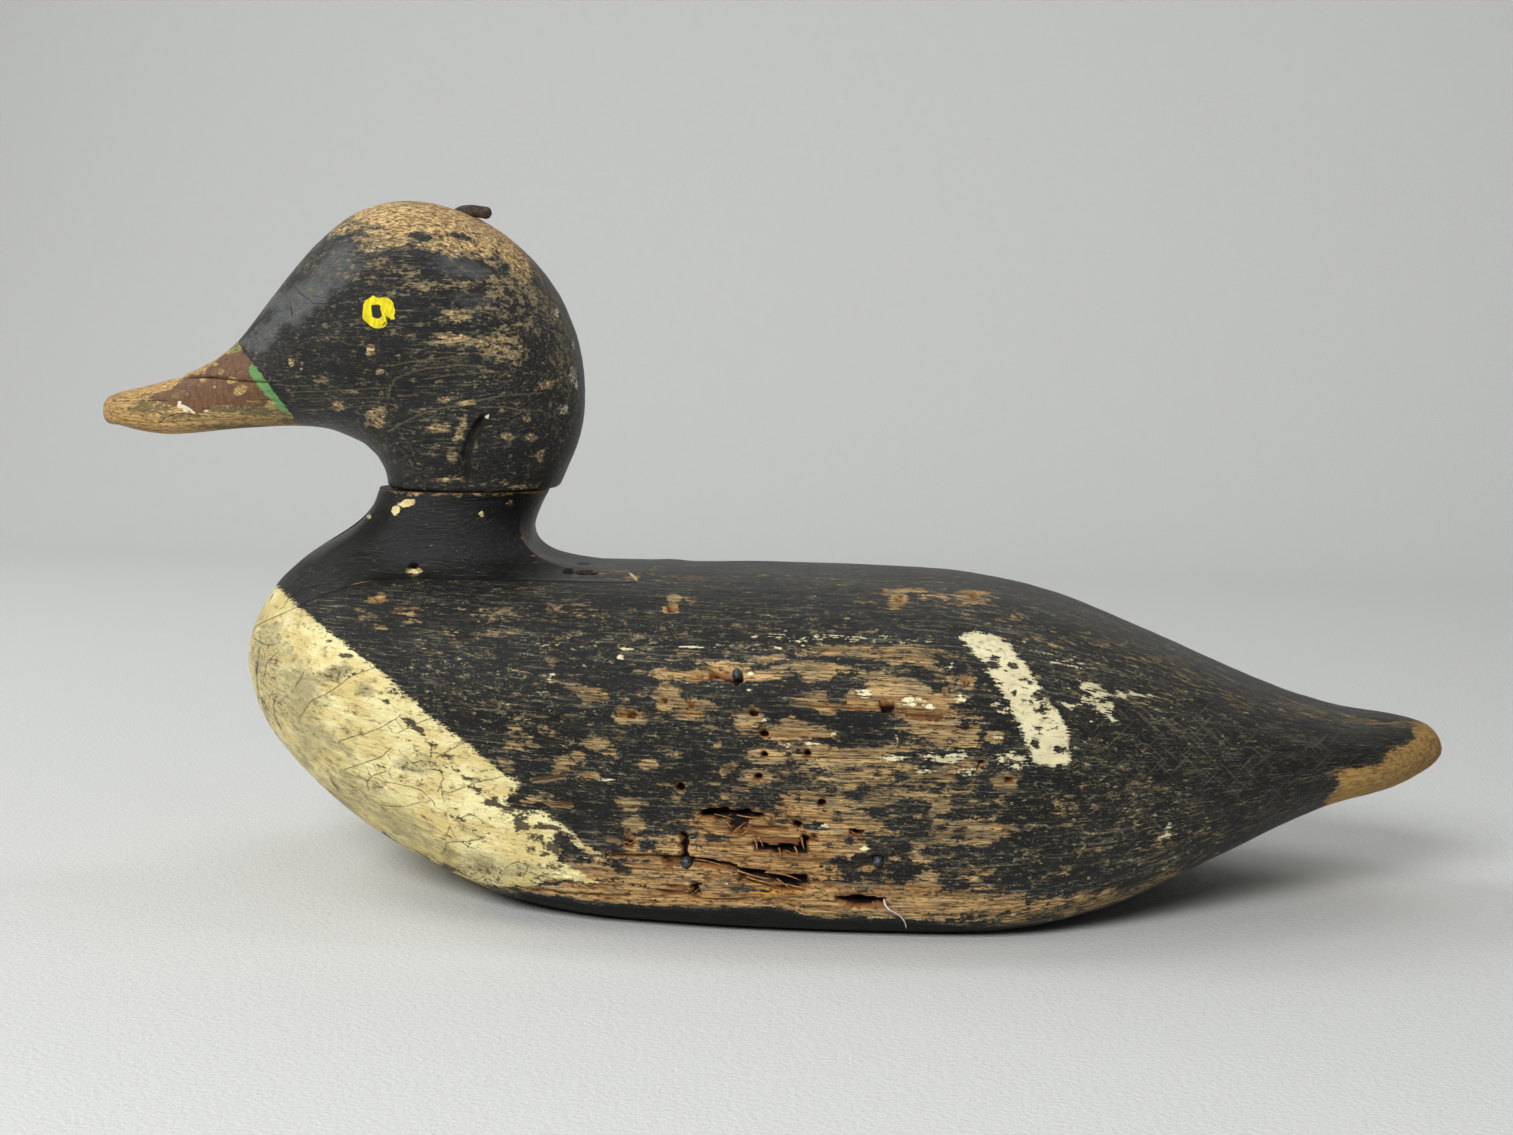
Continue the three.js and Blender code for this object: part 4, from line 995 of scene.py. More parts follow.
HEAD_BLACK_EDGE = [
    (234, 320), (236, 338), (241, 352), (248, 359), (256, 369), (266, 382), (275, 395), (283, 405),
    (291, 415), (297, 424), (312, 430), (335, 445), (335, 600), (900, 600), (900, 0), (240, 0),
]
BROWN_BILL = [
    (215, 359), (222, 353), (239, 350), (246, 356), (252, 362), (250, 370), (252, 380), (263, 381),
    (265, 388), (272, 396), (268, 401), (264, 407), (250, 407), (240, 408), (228, 407), (220, 405),
    (213, 404), (208, 411), (200, 414), (192, 413), (186, 409), (175, 407), (165, 403), (150, 398),
    (153, 392), (165, 390), (174, 386), (180, 380), (188, 372), (196, 373), (204, 372), (206, 366),
    (212, 363),
]
GREEN_BAND = [
    (252, 364), (256, 368), (260, 374), (266, 380), (272, 388), (277, 395), (283, 404), (291, 413),
    (282, 412), (274, 404), (267, 397), (261, 390), (256, 384), (251, 378), (249, 372), (249, 366),
]
GREEN_TRACES = [
    (233, 348, 11, 2, 0.75, -15), (275, 403, 11, 5, 0.55), (285, 411, 8, 3, 0.6),
    (246, 356, 4, 3, 0.5),
]
BILL_CHIPS = [
    (231, 380, 5, 3.5, 1), (240, 390, 7, 4.5, 1.1, -35), (220, 371, 3, 3, 1), (202, 379, 4, 2.5, 0.8),
    (214, 387, 2, 1.5, 0.7), (175, 395, 6, 5, 0.7), (187, 394, 3, 3, 0.5), (214, 363, 4, 2, 0.7),
    (228, 408, 8, 4, 0.6), (254, 402, 12, 3, 0.5),
]
BILL_GRIME = [
    (150, 407, 22, 10, 0.75), (176, 396, 8, 7, 0.9), (165, 416, 16, 5, 0.6), (225, 408, 22, 6, 0.85),
    (262, 412, 26, 6, 0.8), (190, 414, 14, 5, 0.6), (160, 395, 24, 6, 0.5), (235, 345, 10, 5, 0.7),
    (205, 372, 10, 4, 0.4), (290, 422, 12, 4, 0.8), (120, 398, 8, 5, 0.4), (240, 428, 60, 2.5, 0.8),
]
EYE_RING = [
    (372.5, 295), (376, 297.3), (379, 297.6), (383, 296.3), (388, 298), (392, 301), (393.5, 306),
    (394.7, 312), (393, 316.5), (395.5, 320), (390.5, 319.5), (388, 316), (386, 318.5), (387, 323),
    (384, 327), (380, 328.3), (374, 328.5), (369, 325), (364, 321), (361.7, 318), (362, 311),
    (363, 304), (364.5, 300.5), (369, 298),
]
EYE_PUPIL = [
    (370.3, 305), (379, 304.2), (380, 307), (381.5, 308.3), (379.6, 309.4), (381.7, 311),
    (380.6, 313.8), (382.2, 317), (377, 318.7), (371.6, 316.8), (371.2, 311),
]
# How many of the first bare patches are the palest wood, the crown, and on both sides
PALEST_PATCHES, CROWN_PATCHES, PATCHES_ON_BOTH_SIDES = 3, 6, 12
HEAD_BARE = [
    (405, 213, 80, 20, 1.02), (440, 226, 66, 18, 0.92), (485, 235, 50, 20, 0.92, 28),
    (345, 230, 24, 11, 0.72, -25), (385, 240, 32, 12, 0.75), (440, 243, 34, 10, 0.9),
    (512, 262, 34, 18, 0.85, 45), (380, 261, 24, 8, 0.55), (392, 275, 26, 8, 0.52),
    (520, 290, 30, 14, 0.55), (545, 303, 34, 14, 0.55, 62), (475, 284, 60, 6, 0.6),
    (425, 287, 28, 5, 0.6), (338, 268, 40, 16, 0.36), (398, 290, 20, 5, 0.5), (455, 316, 17, 6, 0.85),
    (450, 337, 22, 7, 0.8), (490, 343, 32, 10, 0.7), (516, 330, 20, 14, 0.5), (503, 350, 28, 10, 0.6),
    (562, 345, 62, 12, 0.5, 78), (573, 405, 60, 8, 0.36, 88), (500, 312, 40, 10, 0.42),
    (368, 349, 4, 7, 1.1), (291, 363, 3, 5, 0.9), (301, 367, 2, 5, 0.8), (379, 372, 4, 3, 0.8),
    (318, 382, 8, 6, 0.5), (340, 407, 8, 6, 0.85), (350, 392, 10, 3, 0.5), (374, 415, 12, 8, 0.75),
    (378, 424, 14, 5, 0.9, 12), (388, 407, 12, 4, 0.5), (437, 428, 14, 5, 0.75, -15),
    (466, 403, 10, 3, 1, -8), (443, 400, 8, 3, 1), (455, 455, 8, 8, 0.65), (460, 430, 14, 5, 0.8, -70),
    (437, 446, 7, 4, 0.55), (507, 437, 5, 4, 1), (530, 437, 6, 4, 0.9), (526, 418, 5, 4, 0.8),
    (541, 457, 5, 6, 1), (546, 384, 12, 5, 0.8, -15), (560, 382, 6, 8, 0.55), (562, 410, 8, 6, 0.6),
    (558, 440, 8, 20, 0.4), (515, 363, 9, 3, 0.65), (448, 481, 20, 3, 0.75), (520, 484, 40, 2, 0.7),
    (310, 248, 24, 6, 0.45, -40), (300, 262, 12, 5, 0.4, -50), (470, 370, 60, 8, 0.24),
    (420, 360, 30, 6, 0.3), (300, 300, 30, 20, 0.2), (330, 330, 50, 20, 0.22), (475, 446, 4, 10, 0.5),
    (560, 365, 4, 20, 0.5),
]
HEAD_ISLANDS = [
    (421, 236, 16, 6, 0.7), (462, 236, 12, 3, 0.8, 12), (395, 250, 10, 4, 0.6), (335, 240, 14, 5, 0.6),
    (505, 268, 4, 6, 0.8), (370, 255, 8, 4, 0.5), (355, 222, 10, 3, 0.4),
]
# Faded grey-blue paint on the crown and sides, and a painted sheen on the forehead: the first two patches
# and the last
FADED_PAINT_AND_SHEEN = [
    (325, 275, 40, 18, 1, -38), (296, 303, 36, 18, 1.2, -42), (455, 262, 28, 14, 0.8),
    (478, 272, 18, 8, 0.8), (480, 300, 26, 10, 0.6), (475, 315, 12, 10, 0.6), (505, 312, 16, 8, 0.45),
    (266, 336, 24, 13, 1.1, -42),
]
HEAD_FLECKS = [
    (180, 406.5, 4, 2, 1.2), (178.5, 403.5, 1.6, 3, 1.1, 20), (185, 409, 3, 3, 1, 30),
    (191, 411, 5, 1.3, 1.1, 42), (487, 417, 2.4, 1.6, 1.3, -10), (558, 312, 3, 5, 0.7),
    (574, 375, 5, 12, 0.6), (565, 409, 6, 6, 0.62), (578, 385, 2, 6, 0.7), (576, 340, 3, 12, 0.55),
    (206, 411, 3, 1.5, 0.8),
]
BILL_CRACK = [(173, 374), (190, 375), (215, 377), (240, 381), (266, 383)]
HEAD_CRACKS = [
    (BILL_CRACK, 0.2), ([(290, 280), (298, 292), (311, 302)], 0.16),
    ([(311, 303), (330, 304), (350, 298), (372, 286), (385, 278)], 0.1),
    ([(533, 268), (545, 290), (556, 302)], 0.25), ([(480, 258), (490, 266), (498, 275)], 0.15),
    ([(158, 424), (165, 418), (178, 413), (192, 415)], 0.15),
    ([(113, 400), (140, 400), (165, 400)], 0.12), ([(120, 420), (150, 424), (200, 421)], 0.1),
    ([(290, 308), (291, 314)], 0.2), ([(383, 325), (388, 319), (386, 316)], 0.25),
    ([(398, 447), (414, 455)], 0.12), ([(260, 400), (300, 402), (360, 400)], 0.1),
    ([(420, 440), (440, 448), (450, 450)], 0.2),
]
GOUGE_SLIVER = [(470, 464), (472, 452), (476, 436), (482, 421)]
PALE_ARCS = [
    ([(388, 399), (389, 388), (395, 379), (410, 372), (430, 368), (460, 365), (482, 366)], 0.28),
    ([(388, 366), (410, 362), (440, 358), (466, 357)], 0.18),
    ([(425, 379), (460, 374), (500, 372)], 0.15),
    ([(388, 432), (400, 424), (420, 414), (440, 409), (465, 404), (500, 396), (540, 393)], 0.26),
    ([(480, 408), (505, 407), (520, 410), (542, 411), (562, 421)], 0.18),
    ([(290, 393), (340, 391), (386, 388)], 0.15), ([(290, 400), (340, 399), (385, 398)], 0.12),
    ([(300, 412), (340, 409), (375, 405)], 0.12), ([(400, 434), (410, 446), (413, 455)], 0.15),
    ([(310, 338), (330, 336), (350, 345)], 0.12), (GOUGE_SLIVER, 0.22),
    ([(470, 465), (476, 469), (479, 462)], 0.15),
]
GOUGE_RIGHT_WALL = [(466, 484), (469, 470), (473, 450), (479, 432), (485, 417)]
GOUGE = [(448, 484), (456, 470), (463, 450), (469, 432), (480, 417), *GOUGE_RIGHT_WALL[::-1]]


def head_relief(points, u, v, near):
    """Inward relief of the head in millimetres, and painted shade in its gouge and at its foot on the neck.
    """
    carving = BROAD_LUMPS(points, (16, 12, 12))
    facets = ROT_LUMPS(points, (9, 8, 6))
    grain = FIBRE_LUMPS(points, (16, 1.6, 1.3))
    crown = patches(u, v, HEAD_BARE[:CROWN_PATCHES])
    gouge = inside_outline(u, v, GOUGE)
    right_wall = line_marks(u, v, [(GOUGE_RIGHT_WALL, 1)])[0]
    trench = smooth((gouge + 0.5) / 0.9) * near
    depth = 0.22 * (1 - carving) + 0.1 * (1 - facets) + (0.05 + 0.12 * crown) * (1 - grain)
    depth = depth + trench * (0.9 + 1.5 * smooth(1 - np.abs(right_wall) / 3.2))
    sliver = 0.5 * smooth(1 - line_distance(u, v, GOUGE_SLIVER) / 2.2) * near
    stub = smooth((points[..., 2] - NECK_TOP_Z) / 1.4)
    depth = depth - sliver * (trench < 0.5) + (1 - stub) * (0.5 + 0.3 * facets)
    bill_tip = smooth((-170 - points[..., 0]) / 14)
    depth = depth + bill_tip * 0.25 * (1 - ROT_LUMPS(points, (4, 4, 3)))
    crack = line_distance(u, v, BILL_CRACK) / PIXELS_PER_MM
    depth = depth + 0.7 * smooth(1 - crack / 0.7)
    return depth, np.clip(trench * smooth(1 - np.abs(right_wall) / 3) + (1 - stub) * 0.35, 0, 1)


def make_head(finish):
    rings = head_rings()
    normals = outward_normals(rings)
    u, v = in_photograph(rings)
    near = near_half(rings)
    depth, hollow_and_shade = head_relief(rings, u, v, near)
    moved = drift(rings)
    worn = patches(u, v, HEAD_BARE, moved) * (1 - 0.8 * patches(u, v, HEAD_ISLANDS, moved))
    worn_far = np.maximum(patches(u, v, HEAD_BARE[:PATCHES_ON_BOTH_SIDES]), 0.16)
    palest = patches(u, v, HEAD_BARE[:PALEST_PATCHES])
    marks = {
        "black_edge": inside_outline(u, v, HEAD_BLACK_EDGE),
        "brown": inside_outline(u, v, BROWN_BILL),
        "green": inside_outline(u, v, GREEN_BAND),
        "green_traces": patches(u, v, GREEN_TRACES),
        "bill_chips": patches(u, v, BILL_CHIPS) * near,
        "grime_and_shade": patches(u, v, BILL_GRIME),
        "eye_ring": inside_outline(u, v, EYE_RING),
        "eye_pupil": inside_outline(u, v, EYE_PUPIL),
        "bare": np.maximum(worn, 0.14) * near + worn_far * (1 - near),
        "bright_wood": np.maximum(palest, smooth((-150 - rings[..., 0]) / 30)),
        "fade_and_sheen": patches(u, v, FADED_PAINT_AND_SHEEN, moved),
        "flecks": patches(u, v, HEAD_FLECKS) * near,
        "hollow_depth_and_shade": hollow_and_shade,
    }
    marks["crack_side"], marks["crack_near"] = line_marks(u, v, HEAD_CRACKS, near)
    marks["arc_side"], marks["arc_near"] = line_marks(u, v, PALE_ARCS, near)
    rings = rings - normals * depth[..., None]
    _, top_z, _, bottom_z, _, widest, _ = HEAD_STATIONS[0]
    top_x, _, bottom_x, *_ = HEAD_STATIONS[-1]
    start = (BILL_TIP_X, 0, bottom_z + (top_z - bottom_z) * widest)
    end = ((top_x + bottom_x) / 2, 0, NECK_TOP_Z + JOINT_GAP)
    head = ring_piece("painted_head", rings, start, end, finish, marks)
    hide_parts("head")
    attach(head, "root")


# Spike, pellets, torn fibres and sliver

def tube(path, radii, sides, squeeze=1, lean=(0.13, 0.05, 0.99)):
    """Rings of points along a path, each with its own radius, squeezed to flat ones."""
    ahead = np.gradient(path, axis=0)
    ahead /= np.linalg.norm(ahead, axis=1, keepdims=True)
    across = np.cross(ahead, lean)
    across /= np.linalg.norm(across, axis=1, keepdims=True)
    upwards = np.cross(across, ahead)
    angle = np.linspace(0, 2 * math.pi, sides, endpoint=False)
    c, s = np.cos(angle)[None, :, None], np.sin(angle)[None, :, None]
    ring = c * across[:, None] + squeeze * s * upwards[:, None]
    return path[:, None] + radii[:, None, None] * ring


def along_path(points, count):
    """The natural spline through a few points, at even steps."""
    points = np.asarray(points, float)
    steps = np.linalg.norm(np.diff(points, axis=0), axis=1)
    place = np.concatenate([[0], np.cumsum(steps)])
    q = np.linspace(0, place[-1], count)
    return np.stack([spline(place, points[:, k])(q) for k in range(points.shape[1])], axis=1)


def make_spike(finish):
    path = along_path([(x, 0, z) for x, z in SPIKE_PATH], 60)
    reach = np.linalg.norm(path[-1] - path, axis=1)
    radii = SPIKE_RADIUS * np.maximum(rounded(reach, 1.5), 0.2) * 0.94
    rings = tube(path, radii, 32, lean=(1, 0, -1))
    outwards = (rings - path[:, None]) / radii[:, None, None]
    scale = ROT_LUMPS(rings, (1.4, 1.2, 1.0))
    rings = rings - outwards * (0.04 * (1 - scale))[..., None]
    spike = ring_piece("bent_spike", rings, path[0], path[-1], finish)
    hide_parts("crown_spike")
    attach(spike, "root")


def make_pellets(finish):
    for name, (x, z, sunk) in PELLETS.items():
        centre = np.array((x, sunk - float(body_half_width(x, z)), z))
        tilt = np.linspace(0, math.pi, 22)[1:-1, None]
        angle = np.linspace(0, 2 * math.pi, 36, endpoint=False)[None, :]
        ball = np.sin(tilt) * np.cos(angle), np.sin(tilt) * np.sin(angle), np.cos(tilt)
        ball = np.stack(np.broadcast_arrays(*ball), axis=-1)
        dents = ROT_LUMPS(ball * PELLET_RADIUS + centre, (1.1, 1.1, 1.1))
        rings = centre + ball * (PELLET_RADIUS * (0.97 + 0.03 * dents))[..., None] * (0.96, 0.92, 1.0)
        pole = np.array((0, 0, PELLET_RADIUS * 0.97))
        pellet = ring_piece(name + "_lead", rings, centre + pole, centre - pole, finish)
        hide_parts(name)
        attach(pellet, "root")


def flank_place(u, v):
    """The near flank's surface at a place in the photograph, in millimetres."""
    x = np.linspace(-60, 70, 521)[:, None]
    z = np.linspace(1, 84, 333)[None, :]
    surface = np.stack(np.broadcast_arrays(x, -body_half_width(x, z), z), axis=-1)
    seen_u, seen_v = in_photograph(surface)
    return surface.reshape(-1, 3)[np.argmin(np.hypot(seen_u - u, seen_v - v))]


# Start and end in pixels, then in millimetres the depth of each end and the thickness
TORN_FIBRES = [
    ((714, 815), (734, 820), 1.5, 0.4, 0.5), ((733, 834), (746, 822), 2.0, 0.0, 0.5),
    ((739, 837), (752, 825), 2.2, 0.1, 0.55), ((735, 817), (760, 819), 2.8, 1.6, 0.5),
    ((722, 821), (732, 830), 1.8, 0.2, 0.45), ((753, 838), (757, 850), 1.4, 0.0, 0.5),
    ((758, 838), (763, 848), 1.6, 0.3, 0.4), ((768, 853), (781, 857), 2.6, 0.0, 0.4),
    ((778, 850), (781, 857), 2.8, 0.3, 0.3), ((785, 852), (800, 855), 2.6, 0.4, 0.4),
    ((794, 849), (797, 857), 2.6, 0.2, 0.35), ((801, 838), (805, 850), 1.6, 0.4, 0.45),
    ((662, 866), (676, 859), 1.4, 0.0, 0.45), ((667, 867), (683, 861), 1.8, 0.2, 0.4),
    ((694, 861), (722, 867), 2.6, 1.2, 0.5), ((737, 872), (770, 879), 1.8, 0.2, 0.75),
    ((746, 878), (784, 885), 1.8, 0.1, 0.8), ((764, 874), (801, 881), 2.4, 0.8, 0.7),
    ((773, 884), (806, 889), 2.6, 0.4, 0.6), ((776, 880), (790, 889), 2.0, 0.2, 0.5),
    ((872, 903), (878, 912), 1.8, 0.0, 0.3), ((640, 838), (627, 846), 1.0, 0.1, 0.35),
    ((622, 842), (638, 848), 1.0, 0.2, 0.35), ((550, 805), (570, 806), 1.2, 0.4, 0.3),
    ((776, 898), (800, 896), 0.8, 0.0, 0.4), ((782, 893), (804, 897), 0.8, 0.1, 0.4),
    ((690, 896), (700, 888), 1.2, 0.2, 0.3), ((802, 833), (814, 839), 1.2, 0.1, 0.4),
    ((850, 832), (862, 836), 1.4, 0.4, 0.35),
]


def make_torn_fibres(finish):
    """Splinters of wood left in the rotted hollows."""
    chance = np.random.default_rng(5)
    steps, sides = 12, 8
    points, faces = [], []
    for (u0, v0), (u1, v1), deep, shallow, thickness in TORN_FIBRES:
        start = flank_place(u0, v0) + (0, deep, 0)
        end = flank_place(u1, v1) + (0, max(shallow, 0.15), 0)
        middle = (start + end) / 2 + chance.uniform(-0.5, 0.5, 3) * (1, 0.5, 1)
        path = along_path([start, middle, end], steps)
        share = np.linspace(0, 1, steps)
        radii = 0.7 * thickness * np.interp(share, [0, 0.2, 0.7, 1], [1, 1.1, 0.8, 0.12])
        rings = tube(path, radii, sides, 0.35)
        faces += ring_faces(steps, sides, sum(len(p) for p in points))
        points.append(np.vstack([rings.reshape(-1, 3), path[:1], path[-1:]]))
    fibres = make_mesh("torn_fibres", np.vstack(points), faces, finish)
    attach(fibres, "root")


SLIVER_PLACES = [
    (884, 899, 0.3), (886, 904, 1.0), (891, 909, 1.3), (898, 913, 1.2), (904, 919, 1.0),
    (906, 928, 0.6),
]


def make_frayed_sliver(finish):
    """The pale frayed fibre that hangs at the lower edge of the near side."""
    steps, outermost_y, lowest_z = 40, -75.5, 0.4
    places = []
    for u, v, clear in SLIVER_PLACES:
        x, y, z = flank_place(u, v)
        places.append((x, max(y - clear, outermost_y), max(z, lowest_z)))
    path = along_path(places, steps)
    share = np.linspace(0, 1, steps)
    knots = FIBRE_LUMPS(path, (1.3, 1.3, 1.1))
    radii = 0.36 * np.interp(share, [0, 0.1, 0.6, 1], [0.5, 1.1, 0.9, 0.25]) * (1 + 0.35 * knots)
    rings = tube(path, radii, 10, 0.5)
    sliver = ring_piece("frayed_sliver", rings, path[0], path[-1], finish)
    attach(sliver, "root")


# Finishes

NOISE_SPAN = 6.5
FLATTENED_WIDTH = 0.12


class Shade:
    """One value of a finish. Arithmetic on it adds Math nodes."""

    def __init__(self, finish, socket):
        self.finish = finish
        self.socket = socket

    def math(self, operation, *values, clamp=False):
        settings = {"operation": operation, "use_clamp": clamp}
        return self.finish.node("Math", settings, dict(enumerate(values)))

    def __add__(self, other):
        return self.math("ADD", self, other)

    def __radd__(self, other):
        return self.math("ADD", other, self)

    def __sub__(self, other):
        return self.math("SUBTRACT", self, other)

    def __rsub__(self, other):
        return self.math("SUBTRACT", other, self)

    def __mul__(self, other):
        return self.math("MULTIPLY", self, other)

    def __rmul__(self, other):
        return self.math("MULTIPLY", other, self)

    def __abs__(self):
        return self.math("ABSOLUTE", self)

    def limited(self):
        return self.math("ADD", self, 0.0, clamp=True)

    def over(self, level, softness):
        """0 below the level and 1 above it, with a soft edge."""
        return self.math("MULTIPLY_ADD", self, 1 / softness, 0.5 - level / softness, clamp=True)

    def larger(self, other):
        return self.math("MAXIMUM", self, other)


class Finish:
    """A material whose nodes are written as expressions."""

    def __init__(self, name):
        self.material = bpy.data.materials.new(name)
        self.material.use_nodes = True
        self.tree = self.material.node_tree
        self.tree.nodes.clear()
        place = self.node("TexCoord", {}, {}, "Object")
        self.place = self.node("VectorMath", {"operation": "SCALE"}, {"Vector": place, "Scale": 1 / MM})

    def follow(self, along, height):
        """Lets noise run along the form, with these marks in place of the level coordinates."""
        y = self.node("SeparateXYZ", {}, {"Vector": self.place}, "Y")
        self.level_place = self.place
        self.place = self.node("CombineXYZ", {}, {"X": along, "Y": y * FLATTENED_WIDTH, "Z": height})

    def node(self, kind, settings, values, output=0):
        """A node with its settings made first, then its sockets linked or set, as one of its outputs."""
        node = self.tree.nodes.new("ShaderNode" + kind)
        for name, value in settings.items():
            setattr(node, name, value)
        for name, value in values.items():
            if isinstance(name, int):
                socket = node.inputs[name]
            else:
                socket = next(s for s in node.inputs if name in (s.identifier, s.name))
            if isinstance(value, Shade):
                self.tree.links.new(value.socket, socket)
            else:
                socket.default_value = value
        if isinstance(output, str):
            output = next(i for i, s in enumerate(node.outputs) if output in (s.identifier, s.name))
        return Shade(self, node.outputs[output]) if node.outputs else node

    def mark(self, name):
        """A number that the mesh carries at each point."""
        return self.node("Attribute", {"attribute_name": name}, {}, "Fac")

    def stretched(self, place, size, shift):
        """The place in steps of this size in millimetres, shifted by so many steps."""
        values = {0: place, 1: [1 / s for s in size], 2: shift}
        return self.node("VectorMath", {"operation": "MULTIPLY_ADD"}, values)

    def noise(self, size, seed, detail=3, roughness=0.55, distortion=0, place=None):
        """Noise of about -1 to 1 whose features have this size in millimetres along x, y and z."""
        values = {
            "Vector": self.stretched(place or self.place, size, (seed * 17.3, seed * 5.9, seed * 11.1)),
            "Scale": 1, "Detail": detail, "Roughness": roughness, "Distortion": distortion,
        }
        return (self.node("TexNoise", {}, values, "Fac") - 0.5) * NOISE_SPAN

    def cells(self, size, seed):
        """Distance to the edges of irregular cells of this size in millimetres, in cells."""
        place = self.stretched(self.place, size, (seed * 7.7, seed * 3.1, seed * 13.7))
        return self.node("TexVoronoi", {"feature": "DISTANCE_TO_EDGE"}, {"Vector": place}, "Distance")

    def blend(self, amount, below, above):
        """One colour laid over another."""
        values = {"Factor_Float": amount, "A_Color": below, "B_Color": above}
        return self.node("Mix", {"data_type": "RGBA"}, values, "Result_Color")

    def layers(self, ground, *laid):
        """A ground with colours laid over it one after another: each an amount, red, green and blue."""
        for amount, *screen_values in laid:
            ground = self.blend(amount, ground, colour(*screen_values))
        return ground

    def bump(self, height):
        """A normal from a height in millimetres."""
        return self.node("Bump", {}, {"Height": height, "Distance": MM, "Strength": 1})

    def done(self, colour, roughness, normal=None, **constants):
        values = {"Base Color": colour, "Roughness": roughness}
        if normal is not None:
            values["Normal"] = normal
        values.update({name.replace("_", " "): value for name, value in constants.items()})
        shader = self.node("BsdfPrincipled", {}, values)
        self.node("OutputMaterial", {}, {"Surface": shader})
        return self.material


def colour(red, green, blue):
    """A colour given as screen values from 0 to 255."""
    values = [c / 255 for c in (red, green, blue)]
    return (*[c / 12.92 if c <= 0.04045 else ((c + 0.055) / 1.055) ** 2.4 for c in values], 1)


def fine_lines(f, ragged):
    """Thin listed cracks, 1 in the crack, from the two marks of the mesh, broken here and there."""
    side = f.mark("crack_side") + ragged * 1.1
    broken = (ragged * 0.8 + 0.4).over(0, 0.8)
    return (0.75 - abs(side)).over(0, 0.7) * f.mark("crack_near") * broken


def bare_wood(f, rotten):
    """Weathered softwood with its grain along the carving: its colour and its relief."""
    rings = f.noise((60, 3.2, 3.2), 1, detail=3, distortion=0.4)
    lines = f.noise((16, 0.7, 0.6), 2, detail=5, roughness=0.65)
    pores = f.noise((3, 0.45, 0.4), 3, detail=3)
    greyed = f.noise((9, 3.6, 3), 4, detail=6, roughness=0.68)
    wood = f.layers(
        f.blend(rings.over(0, 1.2), colour(152, 122, 78), colour(198, 167, 114)),
        (greyed.over(0.05, 0.6) * 0.7, 134, 124, 98),
        (rotten * 0.55, 172, 118, 56),
        (lines.over(0.2, 0.5) * 0.6, 84, 62, 36),
        ((0 - lines).over(0.4, 0.5) * 0.45, 216, 184, 124),
        (pores.over(0.5, 0.25) * 0.8, 54, 40, 27),
    )
    relief = rotten * lines * 0.25 - 0.14 * lines - 0.06 * pores
    return wood, relief


def black_paint(f, dust):
    """Old black paint, thin, dusty and finely flecked: its colour and its relief."""
    cloud = f.noise((24, 12, 10), 5, detail=5)
    scuff = f.noise((12, 0.8, 0.7), 6, detail=5, roughness=0.7)
    speckle = f.noise((2.2, 1.1, 0.9), 7, detail=6, roughness=0.75)
    grit = f.noise((0.9, 0.6, 0.6), 14, detail=3, roughness=0.6)
    dusty = (cloud.over(0.1, 1.4) * 0.75 + 0.25) * dust
    paint = f.layers(
        f.blend(cloud.over(0, 1.4), colour(9, 10, 10), colour(22, 24, 25)),
        (speckle.over(0.55, 0.22) * dusty * 0.75, 98, 93, 74),
        (scuff.over(0.6, 0.25) * dusty * 0.85, 118, 111, 88),
        ((grit + scuff * 0.5).over(1.1, 0.2) * dusty, 158, 150, 122),
    )
    relief = 0.09 * speckle + 0.08 * scuff
    return paint, relief


def cream_paint(f, grime_and_shade):
    """Thick cream paint, yellowed, dirty and finely cracked, greyed by grime and painted shade where
    marked.
    """
    tone = f.noise((12, 8, 7), 8, detail=5, roughness=0.6)
    dirt = f.noise((3.6, 2.2, 2), 9, detail=6, roughness=0.7)
    crazing = f.cells((7, 5, 3.6), 10)
    grimed_and_shaded = (grime_and_shade + dirt * 0.22 + tone * 0.2).over(0.5, 0.5)
    paint = f.layers(
        f.blend(tone.over(0, 1.2), colour(224, 204, 136), colour(248, 236, 176)),
        (grimed_and_shaded * 0.75, 158, 146, 106),
        (dirt.over(0.5, 0.3) * 0.6, 166, 140, 92),
        (dirt.over(0.95, 0.12) * 0.8, 96, 82, 60),
        ((0.03 - crazing).over(0, 0.03) * grimed_and_shaded * 0.5, 92, 78, 56),
    )
    relief = 0.1 * dirt + 0.08 * tone
    return paint, relief


def ragged_noises(f):
    """Noise for the worn edges of paint: blotches, dashes along the grain, and fine fraying."""
    blotches = f.noise((3.4, 2, 1.7), 11, detail=7, roughness=0.72)
    dashes = f.noise((7, 0.8, 0.7), 12, detail=5, roughness=0.68)
    ragged = f.noise((1.3, 0.8, 0.7), 13, detail=6, roughness=0.75)
    return blotches, dashes, ragged


